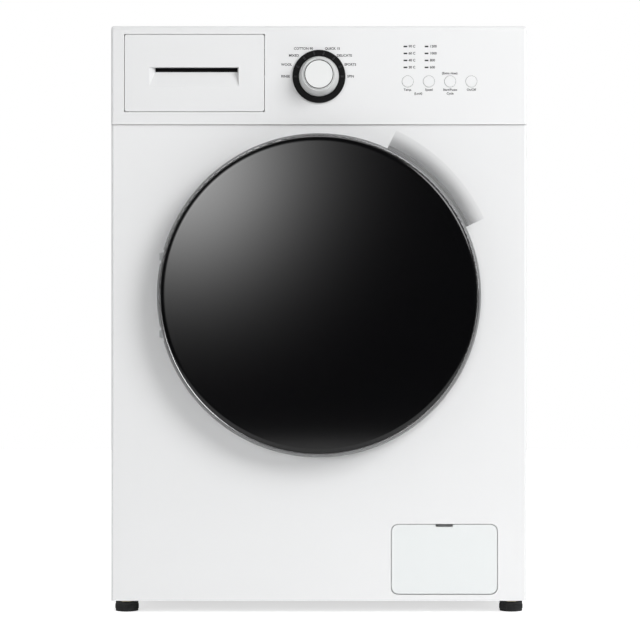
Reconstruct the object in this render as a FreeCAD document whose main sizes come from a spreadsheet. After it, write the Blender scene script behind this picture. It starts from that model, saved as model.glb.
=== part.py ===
import FreeCAD, Part
import math
import operator
import os
import Sketcher

# Front loading washing machine, millimetres.
# X runs from the left side to the right side, Y from the door to the rear, Z upward from the floor.
# The origin is on the floor, under the middle of the machine.

DIMENSIONS = (
    ("cabinet_width", 597, "width over the side panels"),
    ("cabinet_height", 845, "height of the worktop above the floor"),
    ("foot_height", 18.5, "height of the cabinet's lower edge above the floor"),
    ("seam_height", 702.5, "height of the joint between front panel and control fascia"),
    ("side_top", 814.5, "height of the side panels' upper edge"),
    ("panel_face", -237, "Y of the front panel's outer face"),
    ("fascia_face", -240, "Y of the control fascia's outer face"),
    ("fascia_back", -219.5, "Y of the control fascia's rear edge"),
    ("frame_front", -218.5, "Y of the side panels' front edge"),
    ("rear_face", 270, "Y of the rear panel's outer face"),
    ("steel", 1, "thickness of the cabinet's sheet steel"),
    ("axis_height", 457, "height of the axis of the door and the drum"),
    ("corner_radius", 4, "radius of the cabinet's upright front edges"),
    ("fascia_wall", 2.5, "thickness of the fascia moulding"),
    ("fascia_top_radius", 8, "radius of the fascia's upper front edge"),
    ("drawer_left", -279.5, "X of the left edge of the drawer opening"),
    ("drawer_right", -77.8, "X of the right edge of the drawer opening"),
    ("drawer_low", 720.4, "height of the lower edge of the drawer opening"),
    ("drawer_high", 832.2, "height of the upper edge of the drawer opening"),
    ("drawer_gap", 0.8, "gap around the drawer front"),
    ("knob_height", 771.2, "height of the programme knob's axis"),
    ("knob_skirt", 28.6, "radius of the knob's skirt"),
    ("knob_rim", 23.4, "radius of the knob's front rim"),
    ("knob_front", -270, "Y of the knob's front rim"),
    ("ring_outer", 38, "outer radius of the dial ring"),
    ("ring_inner", 29.5, "inner radius of the dial ring"),
    ("ring_face", -243, "Y of the dial ring's face"),
    ("tick_radius", 33.5, "radius on which the dial's lamps stand"),
    ("button_height", 764.2, "height of the row of buttons"),
    ("first_button", 127.3, "X of the first button"),
    ("button_pitch", 30.45, "distance between two buttons"),
    ("button_radius", 8, "radius of a button"),
    ("lamp_pitch", 10, "distance between two lamps of a column"),
    ("lamp_top", 814.4, "height of the upper lamp of a column"),
    ("dish_radius", 222, "radius of the recess for the door at the panel's face"),
    ("dish_floor", -215, "Y of the floor of the recess for the door"),
    ("mouth_radius", 172, "radius of the loading mouth in the front panel"),
    ("grip_radius", 262, "outer radius of the finger recess beside the door"),
    ("door_radius", 230.8, "outer radius of the door ring"),
    ("door_back", -240, "Y of the rear edge of the door ring"),
    ("door_seat", -271.3, "Y of the face that the cover glass lies on"),
    ("door_apex", -282.5, "Y of the most forward point of the cover glass"),
    ("glass_radius", 224.5, "radius of the cover glass"),
    ("glass_wall", 4, "thickness of the door's two glasses"),
    ("hinge_x", -222, "X of the door's hinge pin"),
    ("hinge_y", -260, "Y of the door's hinge pin"),
    ("hinge_reach", 55, "height of each hinge arm above or below the door's axis"),
    ("hinge_pin", 2.4, "radius of the door's hinge pin"),
    ("tub_radius", 255, "outer radius of the tub"),
    ("tub_wall", 3.5, "thickness of the tub's walls"),
    ("tub_front_face", -165, "Y of the tub's front wall"),
    ("tub_joint", -2, "Y of the joint between the two halves of the tub"),
    ("tub_rear_face", 153.5, "Y of the tub's rear wall"),
    ("drum_radius", 235, "outer radius of the drum"),
    ("drum_front", -158, "Y of the drum's front edge"),
    ("drum_back", 128, "Y of the drum's rear wall"),
    ("drum_mouth", 160, "radius of the drum's mouth"),
    ("shaft_radius", 14.95, "radius of the drum shaft in its front bearing"),
    ("shaft_end_radius", 12.45, "radius of the drum shaft in its rear bearing and its pulley"),
    ("pulley_radius", 150, "radius of the drum's pulley"),
    ("belt_front", 215, "Y of the belt's front edge"),
    ("belt_width", 14, "width of the belt"),
    ("belt_wall", 3, "thickness of the belt"),
    ("motor_pulley_radius", 11, "radius of the motor's pulley"),
    ("motor_x", 40, "X of the motor's axis"),
    ("motor_height", 140, "height of the motor's axis"),
    ("motor_radius", 52, "radius of the motor's housing"),
    ("spring_x", 225, "distance of each suspension spring from the middle"),
    ("spring_y", 25, "Y of the suspension springs and the dampers"),
    ("spring_radius", 14, "mean radius of a suspension spring"),
    ("spring_wire", 2, "radius of the spring wire"),
    ("damper_foot_x", 262, "distance of each damper's lower eye from the middle"),
    ("damper_foot_z", 60, "height of each damper's lower eye"),
    ("damper_head_x", 150, "distance of each damper's upper eye from the middle"),
    ("damper_head_z", 222, "height of each damper's upper eye"),
    ("damper_pin", 4, "radius of the pins at the ends of a damper"),
    ("filter_x", 180.1, "X of the drain filter's axis"),
    ("filter_height", 78.2, "height of the drain filter's axis"),
    ("flap_left", 104.3, "X of the left edge of the service flap"),
    ("flap_right", 255.9, "X of the right edge of the service flap"),
    ("flap_low", 28.5, "height of the service flap's lower edge"),
    ("flap_high", 128, "height of the service flap's upper edge"),
    ("flap_corner", 10, "radius of the service flap's corners"),
    ("flap_pin", 40, "height of the pins that the service flap turns on"),
    ("foot_x", 279, "distance of each foot from the middle"),
    ("front_foot_y", -200, "Y of the front feet"),
    ("rear_foot_y", 248, "Y of the rear feet"),
    ("foot_radius", 16.5, "radius of a foot's pad"),
    ("stud_radius", 5, "radius of a foot's stud"),
    ("inlet_x", -215, "X of the cold water inlet"),
    ("inlet_height", 765, "height of the cold water inlet"),
    ("inlet_radius", 13.2, "radius over the inlet's G 3/4 thread"),
    ("drain_x", 272, "X of the drain spigot"),
    ("drain_height", 700, "height of the drain spigot"),
    ("drain_radius", 9.5, "radius of the drain spigot"),
)

document = FreeCAD.newDocument("front_load_washing_machine")
sheet = document.addObject("Spreadsheet::Sheet", "Sizes")
nodes = []
OPERATIONS = {"+": operator.add, "-": operator.sub, "*": operator.mul, "/": operator.truediv}


class Size:
    """A length of the sheet, or lengths put together: its value, and the expression that gives it."""

    def __init__(self, value, text):
        self.value = float(value)
        self.text = text

    def __add__(self, other):
        return joined(self, "+", other)

    def __radd__(self, other):
        return joined(other, "+", self)

    def __sub__(self, other):
        return joined(self, "-", other)

    def __rsub__(self, other):
        return joined(other, "-", self)

    def __mul__(self, other):
        return joined(self, "*", other)

    def __rmul__(self, other):
        return joined(other, "*", self)

    def __truediv__(self, other):
        return joined(self, "/", other)

    def __neg__(self):
        return joined(0, "-", self)


class Sizes:
    """The driving dimensions: each row of the sheet is an attribute of this object."""

    def __init__(self, rows):
        for row, (alias, value, meaning) in enumerate(rows, start=1):
            sheet.set("A%d" % row, meaning)
            sheet.set("B%d" % row, str(value))
            sheet.setAlias("B%d" % row, alias)
            setattr(self, alias, Size(value, "Sizes." + alias))


def number(size):
    """The value of a size or of a plain number."""
    return size.value if isinstance(size, Size) else float(size)


def joined(left, sign, right):
    """Two sizes, or a size and a number, put together by one operation."""
    texts = [side.text if isinstance(side, Size) else "(%r)" % float(side) for side in (left, right)]
    value = OPERATIONS[sign](number(left), number(right))
    return Size(value, "(%s %s %s)" % (texts[0], sign, texts[1]))


def bind(thing, path, size):
    """Ties a property to the sheet where its size comes from there, or else sets its value."""
    if isinstance(size, Size):
        thing.setExpression(path, size.text)
    elif "." not in path and "[" not in path:
        setattr(thing, path, float(size))


def put(thing, x, y, z, axis=(0, 0, 1), angle=0.0):
    """Places an object at a point, turned by an angle about an axis."""
    point = FreeCAD.Vector(number(x), number(y), number(z))
    thing.Placement = FreeCAD.Placement(point, FreeCAD.Rotation(FreeCAD.Vector(*axis), angle))
    bind(thing, "Placement.Base.x", x)
    bind(thing, "Placement.Base.y", y)
    bind(thing, "Placement.Base.z", z)


def node(label, thing):
    """Names a finished sub-part, and keeps it for the export."""
    thing.Label = label
    nodes.append(thing)
    return thing


class Bend:
    """An arc between two corners of an outline: its radius, above zero where it turns left."""

    def __init__(self, radius):
        self.radius = radius


class Outline:
    """A closed outline through corners, each an (across, up) pair, with a Bend where a side is an arc."""

    def __init__(self, *path):
        self.path = path

    def draw(self, sketch):
        """Adds the sides to a sketch and holds each corner at its place."""
        ends = []
        holds = []
        for index, corner in enumerate(self.path):
            if isinstance(corner, Bend):
                continue
            after = self.path[(index + 1) % len(self.path)]
            bend = after if isinstance(after, Bend) else None
            if bend:
                after = self.path[(index + 2) % len(self.path)]
            start = FreeCAD.Vector(number(corner[0]), number(corner[1]), 0)
            end = FreeCAD.Vector(number(after[0]), number(after[1]), 0)
            if bend:
                side = sketch.addGeometry(arc_between(start, end, number(bend.radius)))
                left = number(bend.radius) > 0
                ends.append((side, 1, 2) if left else (side, 2, 1))
                radius = bend.radius if left else -bend.radius
                holds.append((Sketcher.Constraint("Radius", side, number(radius)), radius))
            else:
                side = sketch.addGeometry(Part.LineSegment(start, end))
                ends.append((side, 1, 2))
            holds.extend(held(side, ends[-1][1], corner))
        for this, following in zip(ends, ends[1:] + ends[:1]):
            meeting = Sketcher.Constraint("Coincident", this[0], this[2], following[0], following[1])
            holds.append((meeting, None))
        constrain(sketch, holds)


class Circle:
    """A circle round a centre, given as (across, up)."""

    def __init__(self, centre, radius):
        self.centre = centre
        self.radius = radius

    def draw(self, sketch):
        """Adds the circle to a sketch and holds its centre and radius."""
        centre = FreeCAD.Vector(number(self.centre[0]), number(self.centre[1]), 0)
        circle = Part.Circle(centre, FreeCAD.Vector(0, 0, 1), number(self.radius))
        side = sketch.addGeometry(circle)
        holds = held(side, 3, self.centre)
        holds.append((Sketcher.Constraint("Radius", side, number(self.radius)), self.radius))
        constrain(sketch, holds)


def arc_between(start, end, radius):
    """The shorter arc between two points, whose centre is on the left where the radius is above zero."""
    chord = end - start
    height = math.sqrt(max(radius * radius - chord.Length * chord.Length / 4, 0.0))
    left = FreeCAD.Vector(-chord.y, chord.x, 0).normalize()
    centre = (start + end) * 0.5 + left * math.copysign(height, radius)
    first, last = (start, end) if radius > 0 else (end, start)
    begin = math.atan2(first.y - centre.y, first.x - centre.x)
    finish = math.atan2(last.y - centre.y, last.x - centre.x)
    if finish < begin:
        finish += 2 * math.pi
    return Part.ArcOfCircle(Part.Circle(centre, FreeCAD.Vector(0, 0, 1), abs(radius)), begin, finish)


def held(side, end, place):
    """The constraints that hold one end of a side at its place from the sketch's two axes."""
    holds = []
    for name, axis, size in (("DistanceX", -2, place[0]), ("DistanceY", -1, place[1])):
        if number(size) == 0:
            holds.append((Sketcher.Constraint("PointOnObject", side, end, axis), None))
        else:
            holds.append((Sketcher.Constraint(name, -1, 1, side, end, number(size)), size))
    return holds


def constrain(sketch, holds):
    """Adds constraints to a sketch and ties their values to the sheet."""
    first = sketch.ConstraintCount
    sketch.addConstraint([constraint for constraint, size in holds])
    for index, (constraint, size) in enumerate(holds, start=first):
        if isinstance(size, Size):
            sketch.setExpression("Constraints[%d]" % index, size.text)


def rectangle(across, up):
    """A rectangle between two limits across and two limits up."""
    return Outline((across[0], up[0]), (across[1], up[0]), (across[1], up[1]), (across[0], up[1]))


def rounded(across, up, radius):
    """A rectangle with rounded corners."""
    left, right = across
    low, high = up
    bend = Bend(radius)
    return Outline(
        (left + radius, low), (right - radius, low), bend, (right, low + radius),
        (right, high - radius), bend, (right - radius, high),
        (left + radius, high), bend, (left, high - radius),
        (left, low + radius), bend)


class Piece:
    """A sub-part that is one body: sketches on its planes, and features that add or remove material."""

    def __init__(self, label, x=0, y=0, z=0, tilt=0.0):
        self.body = document.addObject("PartDesign::Body", label)
        self.body.AllowCompound = True
        put(self.body, x, y, z, (0, 1, 0), tilt)
        self.volume = 0.0
        node(label, self.body)

    def sketch(self, plane, outlines, offset=0, turn=0.0):
        """Draws outlines on one of the body's planes, moved along its normal and turned about its first axis."""
        drawing = self.body.newObject("Sketcher::SketchObject", self.body.Name + "_sketch")
        role = plane + "_Plane"
        plane_feature = [part for part in self.body.Origin.OriginFeatures if part.Role == role][0]
        drawing.AttachmentSupport = [(plane_feature, "")]
        drawing.MapMode = "FlatFace"
        turned = FreeCAD.Rotation(FreeCAD.Vector(1, 0, 0), turn)
        drawing.AttachmentOffset = FreeCAD.Placement(FreeCAD.Vector(0, 0, number(offset)), turned)
        bind(drawing, "AttachmentOffset.Base.z", offset)
        for outline in outlines:
            outline.draw(drawing)
        return drawing

    def done(self, feature, grows):
        """Recomputes after a feature, and stops where the feature did not change the solid as it should."""
        document.recompute()
        self.body.Tip = feature
        document.recompute()
        volume = self.body.Shape.Volume
        if (volume - self.volume) * grows <= 0:
            raise ValueError("%s: %s changed nothing" % (self.body.Label, feature.Name))
        self.volume = volume
        return feature

    def add(self, plane, outlines, span):
        """Pads outlines along the plane's normal axis between two limits."""
        low, high = span
        pad = self.body.newObject("PartDesign::Pad", self.body.Name + "_pad")
        pad.Profile = self.sketch(plane, outlines, -high if plane == "XZ" else low)
        bind(pad, "Length", high - low)
        return self.done(pad, 1)

    def remove(self, plane, outlines, span):
        """Cuts outlines out along the plane's normal axis between two limits."""
        low, high = span
        pocket = self.body.newObject("PartDesign::Pocket", self.body.Name + "_pocket")
        pocket.Profile = self.sketch(plane, outlines, -low if plane == "XZ" else high)
        bind(pocket, "Length", high - low)
        return self.done(pocket, -1)

    def spin(self, outline, angle=360.0, middle=0.0):
        """Turns a (y, radius) outline about the body's Y axis, all round or through an angle."""
        turned = self.body.newObject("PartDesign::Revolution", self.body.Name + "_turned")
        return self.turned(turned, outline, angle, middle, 1)

    def groove(self, outline, angle=360.0, middle=0.0):
        """Cuts a (y, radius) outline away about the body's Y axis, all round or through an angle."""
        turned = self.body.newObject("PartDesign::Groove", self.body.Name + "_groove")
        return self.turned(turned, outline, angle, middle, -1)

    def turned(self, feature, outline, angle, middle, grows):
        """Sets up a revolution or a groove; middle is the angle from +Z toward +X that it is centred on."""
        profile = self.sketch("YZ", [outline], 0, middle)
        feature.Profile = profile
        feature.ReferenceAxis = (profile, ["H_Axis"])
        feature.Angle = angle
        feature.Midplane = angle < 360
        return self.done(feature, grows)

    def repeat(self, feature, count):
        """Repeats a feature drawn on the XZ plane round the body's Y axis."""
        pattern = self.body.newObject("PartDesign::PolarPattern", self.body.Name + "_pattern")
        pattern.Originals = [feature]
        pattern.Axis = (feature.Profile[0], ["N_Axis"])
        pattern.Angle = 360
        pattern.Occurrences = count
        removes = feature.TypeId == "PartDesign::Pocket"
        return self.done(pattern, -1 if removes else 1)

    def round(self, radius, wanted):
        """Rounds the edges that a test picks out."""
        tip = self.body.Tip
        edges = ["Edge%d" % (index + 1) for index, edge in enumerate(tip.Shape.Edges) if wanted(edge)]
        fillet = self.body.newObject("PartDesign::Fillet", self.body.Name + "_fillet")
        fillet.Base = (tip, edges)
        bind(fillet, "Radius", radius)
        return self.done(fillet, -1)


def block(x, y, z):
    """A box between two limits along each axis."""
    box = document.addObject("Part::Box", "block")
    bind(box, "Length", x[1] - x[0])
    bind(box, "Width", y[1] - y[0])
    bind(box, "Height", z[1] - z[0])
    put(box, x[0], y[0], z[0])
    return box


def rod(axis, centre, span, radius):
    """A cylinder along one axis; the centre gives the other two coordinates in their order."""
    cylinder = document.addObject("Part::Cylinder", "rod")
    bind(cylinder, "Radius", radius)
    bind(cylinder, "Height", span[1] - span[0])
    if axis == "X":
        put(cylinder, span[0], centre[0], centre[1], (0, 1, 0), 90)
    elif axis == "Y":
        put(cylinder, centre[0], span[0], centre[1], (1, 0, 0), -90)
    else:
        put(cylinder, centre[0], centre[1], span[0])
    return cylinder


def cut(base, *tools):
    """One shape less one or more others."""
    tool = tools[0] if len(tools) == 1 else fuse(*tools)
    result = document.addObject("Part::Cut", "cut")
    result.Base = base
    result.Tool = tool
    return result


def fuse(*shapes):
    """Several shapes made one."""
    result = document.addObject("Part::MultiFuse", "fused")
    result.Shapes = list(shapes)
    return result


def group(label, *shapes):
    """A sub-part that is several separate solids."""
    result = document.addObject("Part::Compound", label)
    result.Links = list(shapes)
    return node(label, result)


s = Sizes(DIMENSIONS)
document.recompute()
half_width = s.cabinet_width / 2


def make_base_rails():
    """Four channels of folded steel round the cabinet's foot, with ears for the dampers."""
    low, high, wall = s.foot_height, s.foot_height + 24, 2
    reach = half_width - 2.5
    inner = half_width - 41.5
    rails = []
    for front, back, foot_y in ((-215, -185, s.front_foot_y), (228, 267.6, s.rear_foot_y)):
        rail = block((-reach, reach), (front, back), (low, high))
        gutter = block((-reach, reach), (front + wall, back - wall), (low + wall, high))
        studs = [rod("Z", (side * s.foot_x, foot_y), (low, high), s.stud_radius + 0.3) for side in (-1, 1)]
        rails.append(cut(rail, gutter, *studs))
    for side in (-1, 1):
        limits = (inner, reach - 0.5) if side > 0 else (0.5 - reach, -inner)
        rail = block(limits, (-185, 228), (low, high))
        gutter = block((limits[0] + wall, limits[1] - wall), (-185, 228), (low + wall, high))
        ear_x = (s.damper_foot_x - 10, s.damper_foot_x + 13)
        if side < 0:
            ear_x = (-ear_x[1], -ear_x[0])
        ears = [block(ear_x, (s.spring_y + near, s.spring_y + near + 3), (low + wall, s.damper_foot_z + 10))
                for near in (-15, 12)]
        centre = (side * s.damper_foot_x, s.damper_foot_z)
        eye = rod("Y", centre, (s.spring_y - 20, s.spring_y + 20), s.damper_pin + 0.3)
        rails.append(cut(fuse(cut(rail, gutter), *ears), eye))
    group("base_rails", *rails)


def make_side_panel(side, label):
    """A side panel: a folded sheet with two pressed fields."""
    outer = side * half_width
    inner = side * (half_width - s.steel)
    front, back = s.frame_front, s.rear_face
    rear_flange = back - 2.2
    panel = Piece(label)
    corners = [
        (outer, front), (outer, back), (inner, back), (inner, rear_flange + s.steel),
        (side * (half_width - 13), rear_flange + s.steel), (side * (half_width - 13), rear_flange),
        (inner, rear_flange), (inner, front + s.steel), (side * (half_width - 20), front + s.steel),
        (side * (half_width - 20), front)]
    panel.add("XY", [Outline(*corners)], (s.foot_height, s.side_top))
    bottom = half_width - s.steel - 2
    for low, high in ((120, 380), (440, 700)):
        press = (bottom, half_width - s.steel) if side > 0 else (s.steel - half_width, -bottom)
        dent = (half_width - 2, half_width) if side > 0 else (-half_width, 2 - half_width)
        panel.add("YZ", [rounded((-150, 200), (low, high), 30)], press)
        panel.remove("YZ", [rounded((-149, 199), (low + 1, high - 1), 29)], dent)


def make_rear_panel():
    """The rear panel, with the large opening to the pulley and holes for what passes through it."""
    panel = Piece("rear_panel")
    reach = half_width - 1.5
    panel.add("XZ", [rectangle((-reach, reach), (s.foot_height + 24, s.side_top - 0.5))],
              (s.rear_face - s.steel, s.rear_face))
    holes = [
        rounded((-162, 162), (118, 622), 20),
        Circle((s.inlet_x, s.inlet_height), 16),
        Circle((s.drain_x, s.drain_height), 12),
        Circle((235, 740), 11)]
    holes += [Circle((x, z), 11.2) for x in (-200, 200) for z in (250, 640)]
    panel.remove("XZ", holes, (s.rear_face - 2, s.rear_face + 1))


def make_rear_access_cover():
    """The domed cover over the opening in the rear panel."""
    cover = Piece("rear_access_cover")
    base = s.rear_face + 0.1
    cover.add("XZ", [rounded((-175, 175), (105, 635), 25)], (base, base + 1))
    cover.add("XZ", [rounded((-155, 155), (125, 615), 30)], (base + 1, base + 8))
    cover.remove("XZ", [rounded((-154, 154), (126, 614), 29)], (base, base + 7))


def make_front_panel():
    """The front panel: a pan with the recess for the door, the finger recess and the flap's opening."""
    panel = Piece("front_panel", 0, 0, s.axis_height)
    low, high = s.foot_height - s.axis_height, s.seam_height - 0.5 - s.axis_height
    face, back, sheet_back = s.panel_face, s.panel_face + 18, s.panel_face + s.steel
    bend, inner = s.corner_radius, s.corner_radius - s.steel
    wall = half_width - s.steel
    folded = Outline(
        (-half_width, back), (-half_width, face + bend), Bend(bend), (bend - half_width, face),
        (half_width - bend, face), Bend(bend), (half_width, face + bend), (half_width, back),
        (wall, back), (wall, face + bend), Bend(-inner), (half_width - bend, sheet_back),
        (bend - half_width, sheet_back), Bend(-inner), (-wall, face + bend), (-wall, back))
    panel.add("XY", [folded], (low, high))
    returned = rectangle((-wall, wall), (sheet_back + 2, back))
    panel.add("XY", [returned], (low, low + s.steel))
    panel.add("XY", [returned], (high - s.steel, high))
    front_strip = rectangle((bend - half_width, half_width - bend), (sheet_back, sheet_back + 2))
    panel.add("XY", [front_strip], (low, low + s.steel))
    panel.add("XY", [front_strip], (high - s.steel, high))
    panel.remove("XZ", [Circle((0, 0), s.dish_radius + 2)], (face, sheet_back))
    floor = s.dish_floor
    panel.spin(Outline(
        (face, s.dish_radius), (floor, s.dish_radius - 8), (floor, s.mouth_radius),
        (floor + 9, s.mouth_radius), (floor + 9, s.mouth_radius + 1), (floor + 1, s.mouth_radius + 1),
        (floor + 1, s.dish_radius - 7), (sheet_back, s.dish_radius + 1.3),
        (sheet_back, s.dish_radius + 4), (face, s.dish_radius + 4)))
    hollow = -27
    panel.spin(Outline(
        (face, s.dish_radius - 4), (floor + 1, s.dish_radius - 4), (floor + 1, 237.5), Bend(hollow),
        (sheet_back, s.grip_radius + 1), (face, s.grip_radius + 1)), 41, 45)
    panel.groove(Outline((face - 2, 205), (floor, 205), (floor, 236.5), Bend(hollow), (face, s.grip_radius),
                         (face - 2, s.grip_radius)), 40, 45)
    aperture = rounded((s.flap_left - 0.9, s.flap_right + 0.9),
                       (s.flap_low - 1.2 - s.axis_height, s.flap_high + 0.9 - s.axis_height), 10.5)
    panel.remove("XZ", [aperture], (face, sheet_back))
    arms = [rectangle((s.hinge_x - 5, s.hinge_x + 5), (side * s.hinge_reach - 6, side * s.hinge_reach + 6))
            for side in (-1, 1)]
    panel.remove("XZ", arms, (face, face + 7))
    panel.remove("XZ", [rectangle((183, 208), (-12, 12))], (floor - 1, floor + 2))


def make_top_rails():
    """The four rails that brace the cabinet's top, the side ones with tabs for the springs."""
    low, high = s.side_top - 13.5, s.side_top
    rails = [block((-half_width + 2, half_width - 2), (-213, -193), (low, high)),
             block((-half_width + 2, half_width - 2), (250, s.rear_face - 2.4), (s.side_top - 24, high))]
    for side in (-1, 1):
        x = (half_width - 26.5, half_width - 1.5)
        tab = (212, half_width - 26.5)
        if side < 0:
            x, tab = (-x[1], -x[0]), (-tab[1], -tab[0])
        beam = fuse(block(x, (-193, 250), (low, high)),
                    block(tab, (s.spring_y - 15, s.spring_y + 15), (high - 4, high)))
        rails.append(cut(beam, rod("Z", (side * s.spring_x, s.spring_y), (low, high + 1), 5)))
    group("top_rails", *rails)


def make_worktop():
    """The worktop: a board with a moulded edge all round."""
    edge = 2
    front, back = s.panel_face + 18, s.rear_face + 0.5
    top = s.cabinet_height
    frame = Piece("worktop")
    frame.add("XY", [rounded((-half_width, half_width), (front, back), 4),
                     rectangle((edge - half_width, half_width - edge), (front + edge, back - edge))],
              (s.side_top + 0.5, top - 0.4))
    frame.add("XY", [rectangle((edge - half_width, half_width - edge), (front + edge, back - edge))],
              (top - 16, top))


def make_control_fascia():
    """The control fascia: a hollow moulding with openings for the drawer, the knob, buttons and lamps."""
    fascia = Piece("control_fascia")
    face, back, wall = s.fascia_face, s.fascia_back, s.fascia_wall
    low, high = s.seam_height, s.cabinet_height - 0.5
    fascia.add("XZ", [rectangle((-half_width, half_width), (low, high))], (face, back))
    front = s.fascia_face.value

    def upper_edge(edge):
        """The long edge where the face meets the top."""
        box = edge.BoundBox
        return abs(box.YMax - front) < 0.01 and abs(box.ZMin - high.value) < 0.01

    def upright_edge(edge):
        """The two upright edges of the face."""
        box = edge.BoundBox
        return abs(abs(box.XMin) - half_width.value) < 0.01 and abs(box.YMax - front) < 0.01 and box.ZLength > 50

    fascia.round(s.fascia_top_radius, upper_edge)
    fascia.round(s.corner_radius, upright_edge)
    fascia.remove("XZ", [rectangle((wall - half_width, half_width - wall), (low + wall, high - wall))],
                  (face + wall, back))
    sleeve = rectangle((s.drawer_left - 1.5, s.drawer_right + 1.5), (s.drawer_low - 1.5, s.drawer_high + 1.5))
    fascia.add("XZ", [sleeve], (face + wall, back))
    opening = rectangle((s.drawer_left, s.drawer_right), (s.drawer_low, s.drawer_high))
    fascia.remove("XZ", [opening], (face, back))
    holes = [Circle((0, s.knob_height), 31)]
    holes += [Circle((s.first_button + s.button_pitch * place, s.button_height), s.button_radius + 0.4)
              for place in range(4)]
    holes += [rectangle((x - 2.7, x + 2.7), (z - 1.1, z + 1.1)) for x, z in lamp_places()]
    fascia.remove("XZ", holes, (face, face + wall))
    posts = [Circle((x, z), 3) for x in (-38, 245) for z in (752, 811)]
    fascia.add("XZ", posts, (face + wall, -216))


def lamp_places():
    """The centres of the eight lamps: two columns of four, over the first two buttons."""
    columns = (s.first_button - 3.2, s.first_button + s.button_pitch - 3.3)
    return [(x, s.lamp_top - s.lamp_pitch * row) for x in columns for row in range(4)]


def tick(angle, length, width):
    """The outline of a mark on the dial, lying along a radius at an angle from the top."""
    radians = math.radians(angle)
    out = (math.sin(radians), math.cos(radians))
    over = (math.cos(radians), -math.sin(radians))
    corners = []
    for along, across in ((-1, -1), (-1, 1), (1, 1), (1, -1)):
        radius = s.tick_radius + along * length / 2
        corners.append((radius * out[0] + across * width / 2 * over[0],
                        radius * out[1] + across * width / 2 * over[1]))
    return Outline(*corners)


TICK_ANGLES = (-90, -65.5, -39, -11.5, 11.5, 39, 65.5, 90)


def make_dial():
    """The dial's ring with its eight slots, and the clear lenses in the ring and in the fascia."""
    ring = Piece("dial_ring", 0, 0, s.knob_height)
    face = s.ring_face
    ring.spin(Outline(
        (face, s.ring_inner), (face, s.ring_outer), (s.fascia_face - 0.05, s.ring_outer),
        (s.fascia_face - 0.05, 30.8), (-234, 30.8), (-234, s.ring_inner)))
    ring.remove("XZ", [tick(angle, 5.2, 2.2) for angle in TICK_ANGLES], (face, face + 2))
    guides = Piece("light_guides", 0, 0, s.knob_height)
    guides.add("XZ", [tick(angle, 4.9, 1.9) for angle in TICK_ANGLES], (face, face + 2))
    lenses = [rectangle((x - 2.5, x + 2.5), (z - 0.9 - s.knob_height, z + 0.9 - s.knob_height))
              for x, z in lamp_places()]
    guides.add("XZ", lenses, (s.fascia_face - 0.1, s.fascia_face + 4))


def make_electronics():
    """The display board behind the fascia and the control unit in the cabinet."""
    board = Piece("display_board")
    board.add("XZ", [rectangle((-45, 250), (748, 826))], (-216, -214.4))
    board.add("XZ", [rectangle((-13, 13), (s.knob_height - 13, s.knob_height + 13))], (-219, -205))
    switches = []
    for place in range(4):
        x = s.first_button + s.button_pitch * place
        switches.append(rectangle((x - 3, x + 3), (s.button_height - 3, s.button_height + 3)))
    board.add("XZ", switches, (-220, -216))
    board.remove("XZ", [Circle((0, s.knob_height), 3.05)], (-219, -206.5))
    unit = Piece("control_unit")
    unit.add("XY", [rounded((110, 250), (90, 240), 6)], (735, 795))
    tabs = [rectangle((x, x + 20), (238, s.rear_face - s.steel)) for x in (115, 225)]
    unit.add("XY", tabs, (760, 764))


def make_dispenser_housing():
    """The detergent dispenser's housing, open at the front, with its outlet to the tub."""
    housing = Piece("dispenser_housing")
    x, y, z, wall = (-283, -74), (-217.3, -8), (716, 800), 2.5
    housing.add("XY", [rectangle(x, y)], z)
    housing.add("XY", [Circle((-180, -40), 16)], (700, 716))
    housing.remove("XZ", [rectangle((x[0] + wall, x[1] - wall), (z[0] + wall, z[1] - wall))],
                   (y[0], y[1] - wall))
    housing.remove("XY", [Circle((-180, -40), 13)], (700, z[0] + wall))
    housing.add("XZ", [Circle((-185, 770), 5.7)], (y[1], y[1] + 14))


def make_water_inlet_valve():
    """The inlet valve: its threaded spigot, flange, body, coil and outlet."""
    centre = (s.inlet_x, s.inlet_height)
    valve = Piece("water_inlet_valve")
    plate = s.rear_face - s.steel
    valve.add("XZ", [Circle(centre, 20)], (plate - 7, plate))
    valve.add("XZ", [Circle(centre, s.inlet_radius)], (plate, plate + 13.5))
    valve.add("XZ", [Circle(centre, 16)], (215, plate - 7))
    valve.add("XZ", [Circle(centre, 5.7)], (203, 215))
    valve.add("XY", [Circle((s.inlet_x, 238), 11)], (s.inlet_height + 10, s.inlet_height + 34))
    valve.remove("XZ", [Circle(centre, 9)], (plate - 20, plate + 13.5))


def hose_shape(points, radius, wall):
    """A hose along straight runs joined by tangent arcs, as a hollow tube."""
    corners = [FreeCAD.Vector(*[number(value) for value in point]) for point in points]
    edges = []
    start = corners[0]
    for before, here, after in zip(corners, corners[1:], corners[2:]):
        coming = here - before
        going = after - here
        turn = coming.getAngle(going)
        shorter = min(coming.Length, going.Length)
        bend = 0.45 * shorter / math.tan(turn / 2)
        reach = bend * math.tan(turn / 2)
        coming = coming.normalize()
        going = going.normalize()
        first = here - coming * reach
        last = here + going * reach
        inward = (going - coming).normalize()
        middle = here + inward * (bend / math.cos(turn / 2) - bend)
        edges.append(Part.LineSegment(start, first).toShape())
        edges.append(Part.Arc(first, middle, last).toShape())
        print("hose bend radius %.0f mm on a tube of radius %.1f mm" % (bend, radius))
        start = last
    edges.append(Part.LineSegment(start, corners[-1]).toShape())
    path = Part.Wire(edges)
    tubes = []
    for section in (radius, radius - wall):
        circle = Part.Circle(corners[0], corners[1] - corners[0], section).toShape()
        tubes.append(path.makePipeShell([Part.Wire(circle)], True, False))
    hose = tubes[0].cut(tubes[1])
    expected = math.pi * (radius ** 2 - (radius - wall) ** 2) * path.Length
    print("hose volume %.0f mm3, section times length %.0f mm3" % (hose.Volume, expected))
    return hose.Solids[0]


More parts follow.
